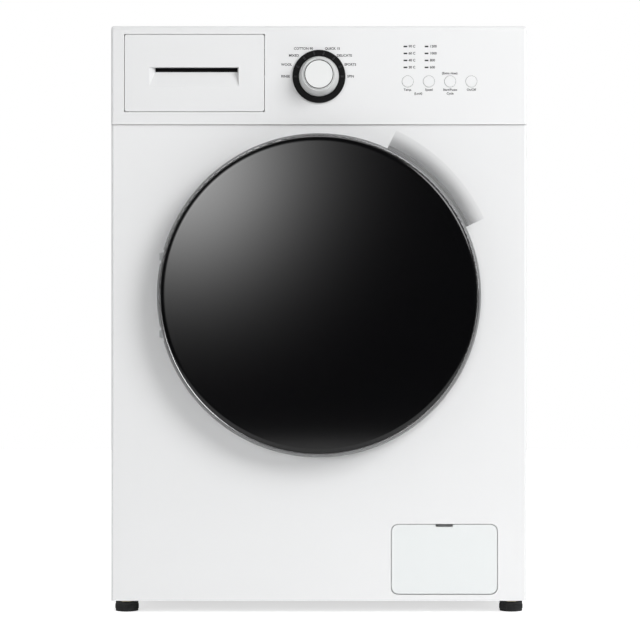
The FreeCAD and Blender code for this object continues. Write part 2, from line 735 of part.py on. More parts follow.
def hoses(label, *shapes):
    """A sub-part that is one or more hoses."""
    feature = document.addObject("Part::Feature", label)
    feature.Shape = Part.makeCompound(list(shapes))
    return node(label, feature)


def make_fixed_hoses():
    """The hose from the valve to the dispenser, and the drain pipe up the cabinet's right side."""
    inlet = [(s.inlet_x, 215, s.inlet_height), (s.inlet_x, 175, s.inlet_height),
             (-185, 130, 770), (-185, 74, 771), (-185, -7.7, 770)]
    drain = [(226, -124, 100), (262, -124, 102), (s.drain_x, -70, 112), (s.drain_x, 60, 116),
             (s.drain_x, 185, 150), (s.drain_x, 232, 250), (s.drain_x, 236, 560),
             (s.drain_x, 236, 684), (s.drain_x, 246, s.drain_height), (s.drain_x, 262, s.drain_height)]
    hoses("fixed_hoses", hose_shape(inlet, 8, 2), hose_shape(drain, 11.4, 1.8))


def make_drain_pump():
    """The drain pump: filter tube, pump chamber, motor, inlet and outlet."""
    centre = (s.filter_x, s.filter_height)
    inlet_y = -165
    body = fuse(
        rod("Y", centre, (-216.3, -140), 31),
        rod("Y", centre, (-140, -108), 36),
        rod("Y", centre, (-108, -60), 28),
        rod("X", (inlet_y, s.filter_height), (128, s.filter_x - 29), 15),
        rod("X", (-124, 100), (s.filter_x, 226), 9))
    inlet_bore = rod("X", (inlet_y, s.filter_height), (127, s.filter_x - 10), 12)
    bore = rod("Y", centre, (-217, -146), 27.5)
    outlet_bore = rod("X", (-124, 100), (s.filter_x + 20, 227), 7)
    node("drain_pump", cut(body, bore, inlet_bore, outlet_bore))


def make_service_bezel():
    """The moulded frame behind the service flap, with the holes that the flap's pins turn in."""
    bezel = Piece("service_bezel")
    x = (s.flap_left - 6.3, s.flap_right + 6.1)
    z = (s.flap_low - 7.5, s.flap_high + 7)
    bezel.add("XZ", [rounded(x, z, 8)], (s.panel_face + 1.1, -216.5))
    bezel.remove("XZ", [rounded((x[0] + 2.5, x[1] - 2.5), (z[0] + 2.5, z[1] - 2.5), 6)],
                 (s.panel_face + 1.1, -219))
    bezel.remove("XZ", [Circle((s.filter_x, s.filter_height), 28)], (-219, -216.5))
    pin = Circle((-232, s.flap_pin), 2.2)
    bezel.remove("YZ", [pin], (x[0] + 0.5, x[1] - 0.5))


def make_rear_fittings():
    """Four caps in the transport holes, the mains cable's gland and the drain spigot."""
    fittings = Piece("rear_fittings")
    back = s.rear_face
    places = [(x, z) for x in (-200, 200) for z in (250, 640)]
    fittings.add("XZ", [Circle(place, 15) for place in places], (back, back + 3))
    fittings.add("XZ", [Circle(place, 11) for place in places], (back - 8, back))
    fittings.add("XZ", [Circle((235, 740), 14)], (back, back + 5))
    fittings.add("XZ", [Circle((235, 740), 10.8)], (back - 8, back))
    fittings.remove("XZ", [Circle((235, 740), 4)], (back - 8, back + 5))
    centre = (s.drain_x, s.drain_height)
    fittings.add("XZ", [Circle(centre, 15)], (back, back + 2))
    fittings.add("XZ", [Circle(centre, s.drain_radius)], (254, back + 12.4))
    fittings.remove("XZ", [Circle(centre, 7)], (254, back + 12.4))


def make_door_lock():
    """The door lock behind the front panel, with the pocket that the latch hook enters."""
    lock = Piece("door_lock", 0, 0, s.axis_height)
    lock.add("XZ", [rounded((178, 214), (-30, 30), 4)], (-213, -185))
    lock.remove("XZ", [rectangle((181, 211), (-14, 14))], (-213, -198))


def make_hinge_bracket():
    """The hinge's plate behind the front panel, with two arms and their knuckles."""
    bracket = Piece("hinge_bracket", 0, 0, s.axis_height)
    back = s.panel_face + s.steel
    bracket.add("XZ", [rectangle((-272, -238), (-78, 78))], (back, back + 3))
    for side in (-1, 1):
        middle = side * s.hinge_reach
        bracket.add("XY", [rectangle((-240, s.hinge_x + 3), (back, back + 3))], (middle - 5, middle + 5))
        bracket.add("XY", [rectangle((s.hinge_x - 3, s.hinge_x + 3), (s.hinge_y, back + 3))],
                    (middle - 5, middle + 5))
        bracket.add("XY", [Circle((s.hinge_x, s.hinge_y), 5.5)], (middle - 5, middle + 5))
    bracket.remove("XY", [Circle((s.hinge_x, s.hinge_y), s.hinge_pin + 0.1)], (-61, 61))


def make_door_gasket():
    """The rubber bellows between the front panel's mouth and the tub's neck."""
    gasket = Piece("door_gasket", 0, 0, s.axis_height)
    lip = s.mouth_radius - 0.3
    gasket.spin(Outline(
        (-216, lip), (-204.8, lip), (-204.8, 156.3), (-201.3, 156.3), (-201.3, 167), (-193, 177.6),
        (-190, 177.6), (-185, lip + 0.3), (-170, lip + 0.3), (-170, lip - 2.3), (-186.2, lip - 2.3),
        (-191.4, 175.1), (-198.8, 165.8), (-198.8, 153.8), (-207.3, 153.8), (-207.3, lip - 2.5),
        (-216, lip - 2.5)))


def make_feet():
    """The two fixed rear feet, and the two front feet that screw up and down."""
    def foot(side, y):
        """One foot: rubber pad, nut and stud."""
        place = (side * s.foot_x, y)
        pad_top = s.foot_height - 5.5
        return fuse(rod("Z", place, (0, pad_top), s.foot_radius), rod("Z", place, (pad_top, s.foot_height), 10),
                    rod("Z", place, (s.foot_height, 60), s.stud_radius))

    group("rear_feet", foot(-1, s.rear_foot_y), foot(1, s.rear_foot_y))
    node("front_left_foot", foot(-1, s.front_foot_y))
    node("front_right_foot", foot(1, s.front_foot_y))


def make_tub():
    """The tub: a front half with its neck and nozzles, and a rear half with hub, ribs and lugs."""
    outer, inner = s.tub_radius, s.tub_radius - s.tub_wall
    face, joint, rear = s.tub_front_face, s.tub_joint, s.tub_rear_face
    front = Piece("tub_front", 0, 0, s.axis_height)
    front.spin(Outline(
        (face - 16, 165.5), (face - 16, 169), (face, 169), (face, outer), (joint - 6, outer),
        (joint - 6, outer + 4), (joint, outer + 4), (joint, inner), (face + s.tub_wall, inner),
        (face + s.tub_wall, 165.5)))
    front.add("XY", [Circle((-180, -40), 16)], (150, 205))
    front.add("XY", [Circle((70, -80), 15)], (-267, -235))
    front.groove(Outline((face + s.tub_wall, 0), (joint, 0), (joint, inner), (face + s.tub_wall, inner)))
    front.remove("XY", [Circle((-180, -40), 13)], (120, 206))
    front.remove("XY", [Circle((70, -80), 12)], (-268, -220))

    back = Piece("tub_rear", 0, 0, s.axis_height)
    start = joint + 0.5
    back.spin(Outline(
        (start, inner), (start, outer + 4), (start + 6, outer + 4), (start + 6, outer), (rear, outer),
        (rear, 45), (200, 45), (200, 26), (183, 26), (183, 20), (163, 20), (163, 31), (144, 31),
        (144, 45), (rear - s.tub_wall, 45), (rear - s.tub_wall, inner)))
    rib_turn = math.radians(15)
    over, up = math.cos(rib_turn), math.sin(rib_turn)
    rib = [(along * over - across * up, along * up + across * over)
           for along, across in ((44, -2), (outer - 5, -2), (outer - 5, 2), (44, 2))]
    back.repeat(back.add("XZ", [Outline(*rib)], (rear - 1, rear + 14.5)), 12)
    lug = (s.spring_y - 10, s.spring_y + 10)
    for side in (-1, 1):
        x = (150, s.spring_x + 7) if side > 0 else (-7 - s.spring_x, -150)
        back.add("XY", [rectangle(x, lug)], (191, 203))
        x = (s.damper_head_x - 10, s.damper_head_x + 10)
        if side < 0:
            x = (-x[1], -x[0])
        head = s.damper_head_z - s.axis_height
        back.add("XY", [rectangle(x, (s.spring_y - 15, s.spring_y - 10)),
                        rectangle(x, (s.spring_y + 10, s.spring_y + 15))], (head - 10, -190))
        back.add("XZ", [Circle((side * s.damper_head_x, head), s.damper_pin)],
                 (s.spring_y - 15, s.spring_y + 15))
    lugs = [rectangle((s.motor_x + x, s.motor_x + x + 20), (60, 100)) for x in (-65, 45)]
    back.add("XY", lugs, (-275, -235))
    back.groove(Outline((start, 0), (rear - s.tub_wall - 7, 0), (rear - s.tub_wall - 7, 40),
                        (rear - s.tub_wall - 7, 46), (rear - s.tub_wall, 46), (rear - s.tub_wall, inner),
                        (start, inner)))
    eyes = [Circle((side * s.spring_x, s.spring_y), 5) for side in (-1, 1)]
    back.remove("XY", eyes, (190, 204))
    back.remove("XZ", [rectangle((-27, 27), (-248.5, -236.5))], (rear - s.tub_wall, rear))


def make_counterweights():
    """The concrete weights: an upper and a lower arc on the tub's front, and a block on top."""
    arcs = Piece("counterweight_arcs", 0, 0, s.axis_height)
    nodes.remove(arcs.body)
    section = Outline((-198, 182), (s.tub_front_face - 0.2, 182), (s.tub_front_face - 0.2, 245), (-198, 245))
    arcs.spin(section, 130, 0)
    arcs.spin(section, 130, 180)
    top = cut(block((-60, 105), (-120, 140), (692, 788)),
              rod("Y", (0, s.axis_height), (-121, 141), s.tub_radius + 4.5))
    group("counterweights", arcs.body, top)


def make_bearings():
    """The drum's two ball bearings, each as one ring."""
    rings = [cut(rod("Y", (0, s.axis_height), span, radius), rod("Y", (0, s.axis_height), span, bore))
             for span, radius, bore in (((146, 162), 30.98, s.shaft_radius + 0.05),
                                        ((184, 199), 25.98, s.shaft_end_radius + 0.05))]
    group("drum_bearings", *rings)


def make_motor():
    """The motor under the tub, with the plate that hangs it there, and its rotor with the pulley."""
    centre = (s.motor_x, s.motor_height)
    top = s.axis_height - 275
    shell = fuse(rod("Y", centre, (30, 190), s.motor_radius),
                 block((s.motor_x - 65, s.motor_x + 65), (60, 100), (top - 7, top)))
    node("motor_housing", cut(shell, rod("Y", centre, (120, 190), s.stud_radius + 0.3)))
    rotor = Piece("motor_pulley", s.motor_x, 0, s.motor_height)
    pulley = s.motor_pulley_radius
    rotor.spin(Outline(
        (125, 0), (125, 5), (212, 5), (212, pulley + 2), (214.6, pulley + 2), (214.6, pulley), (229.4, pulley),
        (229.4, pulley + 2), (232, pulley + 2), (232, 5), (236, 5), (236, 0)))


def make_heater():
    """The tubular heater in the bottom of the tub, with its flange in the rear wall."""
    heater = Piece("heater", 0, 0, s.axis_height)
    height = -242.5
    start, end = -36, s.tub_rear_face - s.tub_wall
    heater.add("XZ", [Circle((-22, height), 4), Circle((22, height), 4)], (start, end))
    heater.add("XZ", [rectangle((-26.5, 26.5), (height - 5.5, height + 5.5))], (end, s.tub_rear_face))
    heater.add("XZ", [rectangle((-30, 30), (height - 9, height + 12))], (s.tub_rear_face, 165))
    bend = heater.body.newObject("PartDesign::Revolution", "heater_bend")
    profile = heater.sketch("XZ", [Circle((22, height), 4)], -start)
    bend.Profile = profile
    bend.ReferenceAxis = (profile, ["V_Axis"])
    bend.Angle = 180
    heater.done(bend, 1)
    if heater.body.Shape.BoundBox.YMin > start:
        bend.Reversed = True
        document.recompute()


def make_springs():
    """The two springs that hang the tub from the top rails, with their straight end hooks."""
    springs = []
    low, high = s.axis_height + 208, s.side_top - 24.5
    turns = 14
    for side in (-1, 1):
        helix = document.addObject("Part::Helix", "helix")
        bind(helix, "Radius", s.spring_radius)
        bind(helix, "Height", high - low)
        bind(helix, "Pitch", (high - low) / turns)
        put(helix, side * s.spring_x, s.spring_y, low)
        section = document.addObject("Part::Circle", "wire")
        bind(section, "Radius", s.spring_wire)
        put(section, side * s.spring_x + s.spring_radius, s.spring_y, low, (1, 0, 0), 90)
        coil = document.addObject("Part::Sweep", "coil")
        coil.Sections = [section]
        coil.Spine = (helix, ["Edge1"])
        coil.Solid = True
        coil.Frenet = True
        pieces = [coil]
        for span in ((s.axis_height + 193, low + 2), (high - 2, s.side_top - 1)):
            hook = rod("Z", (side * s.spring_x, s.spring_y), span, s.spring_wire)
            level = span[1] if span[1].value < high.value else span[0]
            arm = rod("X", (s.spring_y, level), (side * s.spring_x, side * s.spring_x + s.spring_radius),
                      s.spring_wire)
            pieces += [hook, arm]
        springs.append(fuse(*pieces))
    document.recompute()
    group("suspension_springs", *springs)


def make_tub_hoses():
    """The hose from the dispenser down to the tub, and the hose from the sump to the drain pump."""
    filling = Part.makeCylinder(19.5, 56, FreeCAD.Vector(-180, -40, 656))
    filling = filling.cut(Part.makeCylinder(16.3, 56, FreeCAD.Vector(-180, -40, 656)))
    sump = [(70, -80, 204), (70, -80, 140), (70, -125, 92), (84, -165, s.filter_height),
            (140, -165, s.filter_height)]
    hoses("tub_hoses", filling.Solids[0], hose_shape(sump, 18, 2.7))


def belt_outline(gap):
    """The line round both pulleys at a distance from them: two tangents and two arcs."""
    large, small = s.pulley_radius + gap, s.motor_pulley_radius + gap
    drop = s.motor_height - s.axis_height
    heading = math.atan2(drop.value, s.motor_x.value)
    spread = math.acos((large - small).value / math.hypot(drop.value, s.motor_x.value))

    def around(x, z, radius, angle):
        """The point of a pulley at an angle."""
        return (x + radius * math.cos(angle), z + radius * math.sin(angle))

    return Outline(
        around(s.motor_x, drop, small, heading - spread), Bend(small),
        around(s.motor_x, drop, small, heading + spread),
        around(0, 0, large, heading + spread), Bend(large),
        around(0, 0, large, heading + math.pi), Bend(large),
        around(0, 0, large, heading - spread))


def make_drive_belt():
    """The belt from the motor's pulley to the drum's pulley."""
    belt = Piece("drive_belt", 0, 0, s.axis_height)
    belt.add("XZ", [belt_outline(0.3 + s.belt_wall), belt_outline(0.3)],
             (s.belt_front, s.belt_front + s.belt_width))


def make_drum():
    """The drum: its shell, three lifters, the spider with the shaft, and the pulley."""
    front, back, radius, mouth = s.drum_front, s.drum_back, s.drum_radius, s.drum_mouth
    shell = Piece("drum_shell", 0, 0, s.axis_height)
    shell.spin(Outline(
        (front, mouth - 1), (front, radius), (back, radius), (back, 0), (back - 1, 0),
        (back - 1, radius - 1), (front + 1, radius - 1), (front + 1, mouth), (front + 8, mouth),
        (front + 8, mouth - 1)))

    lifters = Piece("drum_lifters", 0, 0, s.axis_height)
    seat = radius - 1.2
    foot = 32
    rise = math.sqrt(seat.value ** 2 - foot ** 2)
    lifter = Outline((-foot, rise), (-20, 200), Bend(25), (20, 200), (foot, rise), Bend(seat))
    lifters.repeat(lifters.add("XZ", [lifter], (-125, 100)), 3)

    spider = Piece("drum_spider", 0, 0, s.axis_height)
    spider.spin(Outline(
        (back, 0), (back, 40), (back + 14, 40), (back + 14, s.shaft_radius), (184, s.shaft_radius),
        (184, s.shaft_end_radius), (236, s.shaft_end_radius), (236, 0)))
    arm = Outline((-20, 25), (20, 25), (12, radius - 7), (-12, radius - 7))
    spider.repeat(spider.add("XZ", [arm], (back, back + 11)), 3)

    pulley = Piece("drum_pulley", 0, 0, s.axis_height)
    rim = s.pulley_radius
    pulley.spin(Outline(
        (212, s.shaft_end_radius + 0.05), (212, 30), (219, 30), (219, rim - 10), (212, rim - 10), (212, rim),
        (232, rim), (232, rim - 10), (224, rim - 10), (224, 30), (232, 30),
        (232, s.shaft_end_radius + 0.05)))
    spread = math.radians(24)
    near = (rim - 18, 42)
    window = Outline(*[(radius * math.sin(angle), radius * math.cos(angle)) for radius, angle in (
        (near[1], -spread), (near[1], spread), (near[0], spread), (near[0], -spread))])
    pulley.repeat(pulley.remove("XZ", [window], (218, 225)), 6)


def make_damper(side, name):
    """One friction damper: its cylinder on the base rail, and its rod on the tub."""
    across = s.damper_foot_x - s.damper_head_x
    rise = s.damper_head_z - s.damper_foot_z
    lean = -side * math.degrees(math.atan2(across.value, rise.value))
    length = math.hypot(across.value, rise.value)
    start = (side * s.damper_foot_x, s.spring_y, s.damper_foot_z)
    pin = s.damper_pin
    cylinder = Piece(name + "_damper_cylinder", *start, lean)
    cylinder.add("XY", [Circle((0, 0), 16)], (20, 110))
    cylinder.add("XY", [Circle((0, 0), 8)], (5, 22))
    cylinder.add("XZ", [Circle((0, 0), 9)], (-11.7, 11.7))
    cylinder.add("XZ", [Circle((0, 0), pin)], (-17, 17))
    cylinder.remove("XY", [Circle((0, 0), 8.3)], (28, 110))
    piston = Piece(name + "_damper_rod", *start, lean)
    piston.add("XY", [Circle((0, 0), 8)], (60, length - 4))
    piston.add("XZ", [Circle((0, length), 9)], (-9.7, 9.7))
    piston.remove("XZ", [Circle((0, length), pin + 0.5)], (-9.7, 9.7))


def make_door():
    """The door: outer ring, bright trim ring, cover glass, inner frame and the glass bowl."""
    back, seat, glass = s.door_back, s.door_seat, s.glass_radius
    outer = s.door_radius
    wall = outer - 3.9
    ring = Piece("door_frame", 0, 0, s.axis_height)
    ring.spin(Outline(
        (back, wall), (back, outer - 1.2), (back - 8, outer), Bend(100), (back - 22, outer), Bend(14),
        (seat, outer - 2.8), (seat, 208), (seat + 3.3, 208), (seat + 3.3, wall)))
    ring.spin(Outline(
        (back - 22, outer - 1.8), (back - 22, outer + 4), (back - 20.5, outer + 5.2),
        (back - 11.5, outer + 5.2), (back - 10, outer + 4), (back - 10, outer - 1.8)), 40, 45)
    arms = [rectangle((side * s.hinge_reach - 10, side * s.hinge_reach + 10), (s.hinge_y - 9.5, back + 2))
            for side in (-1, 1)]
    notches = [Outline(*[(across, up) for up, across in outline.path]) for outline in arms]
    ring.remove("YZ", notches, (s.hinge_x - 20, s.hinge_x + 7))
    ring.remove("XY", [rectangle((s.hinge_x - 4.3, s.hinge_x + 12), (s.hinge_y - 5, s.hinge_y + 5))], (-41, 41))
    ring.remove("XY", [Circle((s.hinge_x, s.hinge_y), s.hinge_pin + 0.4)], (-62, 62))

    trim = Piece("door_trim_ring", 0, 0, s.axis_height)
    trim.spin(Outline(
        (seat, glass + 0.3), (seat - 5.2, glass + 0.3), Bend(-2.2), (seat - 5.4, glass + 2.6), Bend(-6),
        (seat, glass + 3.9)))

    cover = Piece("door_cover_glass", 0, 0, s.axis_height)
    crown = 7
    edge = s.door_apex + crown
    sweep = (glass * glass + crown ** 2) / (2 * crown)
    cover.spin(Outline(
        (s.door_apex, 0), Bend(-sweep), (edge, glass), (edge + s.glass_wall, glass), Bend(sweep),
        (s.door_apex + s.glass_wall, 0)))

    inner = Piece("door_inner_frame", 0, 0, s.axis_height)
    rim = back - 0.5
    inner.spin(Outline(
        (rim, wall - 0.4), (rim, 206), (-219, 202), (-219, 153), (-228, 153), (-228, 155.5),
        (-221.5, 155.5), (-221.5, 199.8), (rim - 2.5, 203.7), (rim - 2.5, wall - 0.4)))
    inner.remove("YZ", notches, (s.hinge_x - 20, s.hinge_x + 7))
    inner.remove("XZ", [rectangle((182, 205), (-9, 9))], (-232, -218))

    bowl = Piece("door_bowl", 0, 0, s.axis_height)
    bowl.spin(Outline(
        (-229, 148.5), (-229, 152.5), (-200, 150), (-155, 128), Bend(-40), (-138, 95), (-136, 0),
        (-140, 0), (-141.9, 93.4), Bend(36), (-157.8, 124.6), (-201.2, 146.1)))

    hinge = Piece("door_hinge", 0, 0, s.axis_height)
    hinge.add("XY", [rectangle((s.hinge_x - 4, s.hinge_x + 10), (s.hinge_y - 4.5, s.hinge_y + 4.5))], (-40, 40))
    hinge.add("XY", [Circle((s.hinge_x, s.hinge_y), s.hinge_pin)], (-61, 61))

    hook = Piece("latch_hook", 0, 0, s.axis_height)
    shape = Outline(
        (193, -234), (199, -234), (199, -203), (192, -203), (186, -209), (193, -209))
    hook.add("XY", [shape], (-6, 6))
    hook.add("XY", [Circle((196, -230), 2)], (-12, 12))


def make_knob():
    """The programme knob with its shaft, and the cap in its face."""
    knob = Piece("program_knob", 0, 0, s.knob_height)
    front, skirt, rim = s.knob_front, s.knob_skirt, s.knob_rim
    knob.spin(Outline(
        (front + 2, 0), (front + 2, rim - 0.9), (front, rim - 0.9), (front, rim), (-244, skirt),
        (-238, skirt), (-238, skirt - 2.2), (-265, rim - 2.2), (-265, 5), (-236, 5), (-236, 3),
        (-207, 3), (-207, 0)))
    cap = Piece("knob_cap", 0, 0, s.knob_height)
    cap.spin(Outline(
        (front + 2, 0), (front + 2, rim - 2), (front - 0.4, rim - 2), Bend(0.6), (front - 1, rim - 2.6),
        (front - 1, 0)))


def make_buttons():
    """The four push buttons, each with a flange behind the fascia and a stem to its switch."""
    labels = ("temperature_button", "spin_button", "start_button", "power_button")
    face, back, radius = s.fascia_face, s.fascia_face + s.fascia_wall, s.button_radius
    for place, label in enumerate(labels):
        button = Piece(label, s.first_button + s.button_pitch * place, 0, s.button_height)
        button.spin(Outline(
            (face - 0.8, 0), (face - 0.8, radius - 0.6), Bend(-0.6), (face - 0.2, radius),
            (back + 0.3, radius), (back + 0.3, radius + 1.5), (back + 1.8, radius + 1.5), (back + 1.8, 3),
            (-221.5, 3), (-221.5, 0)))


def make_drawer():
    """The detergent drawer: its front with the hand scoop, and the tray with three compartments."""
    gap = s.drawer_gap
    x = (s.drawer_left + gap, s.drawer_right - gap)
    z = (s.drawer_low + gap, s.drawer_high - gap)
    face = s.fascia_face
    front = Piece("drawer_front")
    front.add("XZ", [rounded(x, z, 3)], (face, face + 3.5))
    front.add("XZ", [rectangle((-246, -112), (754, 799))], (face + 3.5, -220.5))
    loft = front.body.newObject("PartDesign::SubtractiveLoft", "scoop")
    loft.Profile = front.sketch("XZ", [rectangle((-243.4, -115), (757.7, 784.6))], -face)
    loft.Sections = [front.sketch("XZ", [rectangle((-235.8, -117), (778.5, 784.6))], -face - 9)]
    loft.Ruled = True
    front.done(loft, -1)
    front.remove("XZ", [rectangle((-235.8, -117), (778.5, 795))], (face + 8.8, face + 17))
    tray = Piece("drawer_tray")
    tray.add("XZ", [rectangle((-275, -82), (723, 790))], (-220.5, -14))
    rooms = [rectangle(room, (-218.5, -16)) for room in ((-273, -212), (-210, -147), (-145, -84))]
    tray.remove("XY", rooms, (725, 790))
    tray.add("XY", [Circle((-178.5, -40), 7)], (725, 770))


def make_service_flap():
    """The service flap, with a finger notch in its upper edge and a pin at each lower end."""
    flap = Piece("service_flap")
    face = s.panel_face
    x, z = (s.flap_left, s.flap_right), (s.flap_low, s.flap_high)
    flap.add("XZ", [rounded(x, z, s.flap_corner)], (face, face + 3))
    middle = (s.flap_left + s.flap_right) / 2
    flap.remove("XZ", [rectangle((middle - 12.3, middle + 12.3), (s.flap_high - 3.5, s.flap_high))],
                (face, face + 3))
    for low, high, end in ((x[0] + 3, x[0] + 8, x[0] - 5), (x[1] - 8, x[1] - 3, x[1] + 5)):
        flap.add("YZ", [rectangle((face + 3, face + 7.2), (s.flap_pin - 3, s.flap_pin + 4.5))], (low, high))
        span = (end, high) if end.value < low.value else (low, end)
        flap.add("YZ", [Circle((-232, s.flap_pin), 1.9)], span)


def make_drain_filter():
    """The drain filter: its cap with a grip bar, and the strainer body in the pump."""
    drain_filter = Piece("drain_filter", s.filter_x, 0, s.filter_height)
    drain_filter.add("XZ", [Circle((0, 0), 30.5)], (-222, -219.3))
    drain_filter.add("XZ", [Circle((0, 0), 27.2)], (-219.3, -205))
    drain_filter.add("XZ", [Circle((0, 0), 22)], (-205, -150))
    drain_filter.add("XZ", [rounded((-22, 22), (-4, 4), 3)], (-230, -222))


def export():
    """Checks every object and every sub-part, then writes one file for each sub-part."""
    document.recompute()
    for thing in document.Objects:
        if "Invalid" in thing.State or "Error" in thing.State:
            raise RuntimeError("%s is %s" % (thing.Label, thing.State))
    os.makedirs("parts", exist_ok=True)
    for part in nodes:
        shape = part.Shape
        if shape.isNull() or not shape.isValid():
            raise RuntimeError("%s has no valid shape" % part.Label)
        print("%s: %d solids, %.0f mm3" % (part.Label, len(shape.Solids), shape.Volume))
        shape.exportStep("parts/%s.step" % part.Label)


make_base_rails()
make_side_panel(-1, "left_side_panel")
make_side_panel(1, "right_side_panel")
make_rear_panel()
make_rear_access_cover()
make_front_panel()
make_top_rails()
make_worktop()
make_control_fascia()
make_dial()
make_electronics()
make_dispenser_housing()
make_water_inlet_valve()
make_fixed_hoses()
make_drain_pump()
make_service_bezel()
make_rear_fittings()
make_door_lock()
make_hinge_bracket()
make_door_gasket()
make_feet()
make_tub()
make_counterweights()
make_bearings()
make_motor()
make_heater()
make_springs()
make_tub_hoses()
make_drive_belt()
make_drum()
make_damper(-1, "left")
make_damper(1, "right")
make_door()
make_knob()
make_buttons()
make_drawer()
make_service_flap()
make_drain_filter()
export()
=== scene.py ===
"""Front loading washing machine: the looks built round its fixed frame."""

import logging
import math
from dataclasses import dataclass, field
from enum import Enum

import bmesh
import bpy
import numpy as np
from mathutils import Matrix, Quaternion, Vector


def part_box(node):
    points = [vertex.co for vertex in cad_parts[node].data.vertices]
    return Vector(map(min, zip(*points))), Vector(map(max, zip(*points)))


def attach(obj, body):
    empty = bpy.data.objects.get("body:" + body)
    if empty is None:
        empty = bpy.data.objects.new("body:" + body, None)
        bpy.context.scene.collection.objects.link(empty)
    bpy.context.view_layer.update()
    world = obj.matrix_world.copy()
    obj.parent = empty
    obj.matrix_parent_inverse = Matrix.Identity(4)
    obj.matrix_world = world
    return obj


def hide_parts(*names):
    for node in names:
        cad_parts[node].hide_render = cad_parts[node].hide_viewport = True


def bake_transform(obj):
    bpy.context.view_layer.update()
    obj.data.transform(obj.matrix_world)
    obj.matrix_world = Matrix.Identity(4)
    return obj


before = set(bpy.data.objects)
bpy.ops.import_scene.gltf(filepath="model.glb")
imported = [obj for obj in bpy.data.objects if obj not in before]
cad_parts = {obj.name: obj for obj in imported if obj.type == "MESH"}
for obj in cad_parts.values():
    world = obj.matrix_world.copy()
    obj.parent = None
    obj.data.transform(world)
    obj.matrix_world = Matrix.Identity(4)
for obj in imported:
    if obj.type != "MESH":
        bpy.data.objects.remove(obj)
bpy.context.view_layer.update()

LOG = logging.getLogger("washing_machine")
MM = 0.001
Colour = tuple[float, float, float]
Point = tuple[float, float, float]


# ---------------------------------------------------------------- finishes


class Grain(Enum):
    """How the small relief of a finish is laid out."""

    ORANGE_PEEL = "orange_peel"
    SPARK = "spark"
    BRUSHED_ROUND = "brushed_round"
    BRUSHED_UP = "brushed_up"
    CAST = "cast"
    SMOOTH = "smooth"


@dataclass(frozen=True)
class Finish:
    """One material: its base values, how much its colour and gloss wander, and its relief."""

    name: str
    colour: Colour
    roughness: float
    metallic: float = 0.0
    coat: float = 0.0
    specular: float = 0.5
    wander: float = 0.03
    gloss_wander: float = 0.06
    scale: float = 40.0
    grain: Grain = Grain.SPARK
    relief: float = 0.02
    grain_scale: float = 900.0
    transmission: float = 0.0
    ior: float = 1.5

    def material(self) -> bpy.types.Material:
        """Builds the node material.

        Returns:
            The material, or the one already made under this name.
        """
        known = bpy.data.materials.get(self.name + "_finish")
        if known:
            return known
        material = bpy.data.materials.new(self.name + "_finish")
        material.use_nodes = True
        nodes = material.node_tree.nodes
        links = material.node_tree.links
        shader = nodes["Principled BSDF"]
        shader.inputs["Metallic"].default_value = self.metallic
        shader.inputs["Coat Weight"].default_value = self.coat
        shader.inputs["Coat Roughness"].default_value = 0.08
        shader.inputs["Specular IOR Level"].default_value = self.specular
        shader.inputs["Transmission Weight"].default_value = self.transmission
        shader.inputs["IOR"].default_value = self.ior
        place = nodes.new("ShaderNodeTexCoord")
        cloud = nodes.new("ShaderNodeTexNoise")
        cloud.inputs["Scale"].default_value = self.scale
        cloud.inputs["Detail"].default_value = 3.0
        links.new(place.outputs["Object"], cloud.inputs["Vector"])
        tint = nodes.new("ShaderNodeMix")
        tint.data_type = "RGBA"
        darker = [channel * (1.0 - self.wander) for channel in self.colour]
        tint.inputs["A"].default_value = (*darker, 1.0)
        tint.inputs["B"].default_value = (*self.colour, 1.0)
        links.new(cloud.outputs["Fac"], tint.inputs["Factor"])
        links.new(tint.outputs["Result"], shader.inputs["Base Color"])
        gloss = nodes.new("ShaderNodeMapRange")
        gloss.inputs["To Min"].default_value = max(self.roughness - self.gloss_wander / 2, 0.01)
        gloss.inputs["To Max"].default_value = min(self.roughness + self.gloss_wander / 2, 1.0)
        links.new(cloud.outputs["Fac"], gloss.inputs["Value"])
        links.new(gloss.outputs["Result"], shader.inputs["Roughness"])
        if self.grain is not Grain.SMOOTH:
            self.add_relief(material, place, shader)
        return material

    def add_relief(self, material: bpy.types.Material, place: bpy.types.Node, shader: bpy.types.Node) -> None:
        """Adds the bump that the grain names.

        Args:
            material: The material being built.
            place: Its texture coordinate node.
            shader: Its surface shader.
        """
        nodes = material.node_tree.nodes
        links = material.node_tree.links
        stretch = nodes.new("ShaderNodeMapping")
        scales = {Grain.BRUSHED_ROUND: (1.0, 40.0, 1.0), Grain.BRUSHED_UP: (30.0, 30.0, 0.6)}
        stretch.inputs["Scale"].default_value = scales.get(self.grain, (1.0, 1.0, 1.0))
        links.new(place.outputs["Object"], stretch.inputs["Vector"])
        noise = nodes.new("ShaderNodeTexNoise")
        brushed = self.grain in scales
        noise.inputs["Scale"].default_value = 60.0 if brushed else self.grain_scale
        noise.inputs["Detail"].default_value = 5.0 if self.grain is Grain.CAST else 1.5
        links.new(stretch.outputs["Vector"], noise.inputs["Vector"])
        bump = nodes.new("ShaderNodeBump")
        bump.inputs["Strength"].default_value = self.relief
        bump.inputs["Distance"].default_value = 0.001
        links.new(noise.outputs["Fac"], bump.inputs["Height"])
        links.new(bump.outputs["Normal"], shader.inputs["Normal"])


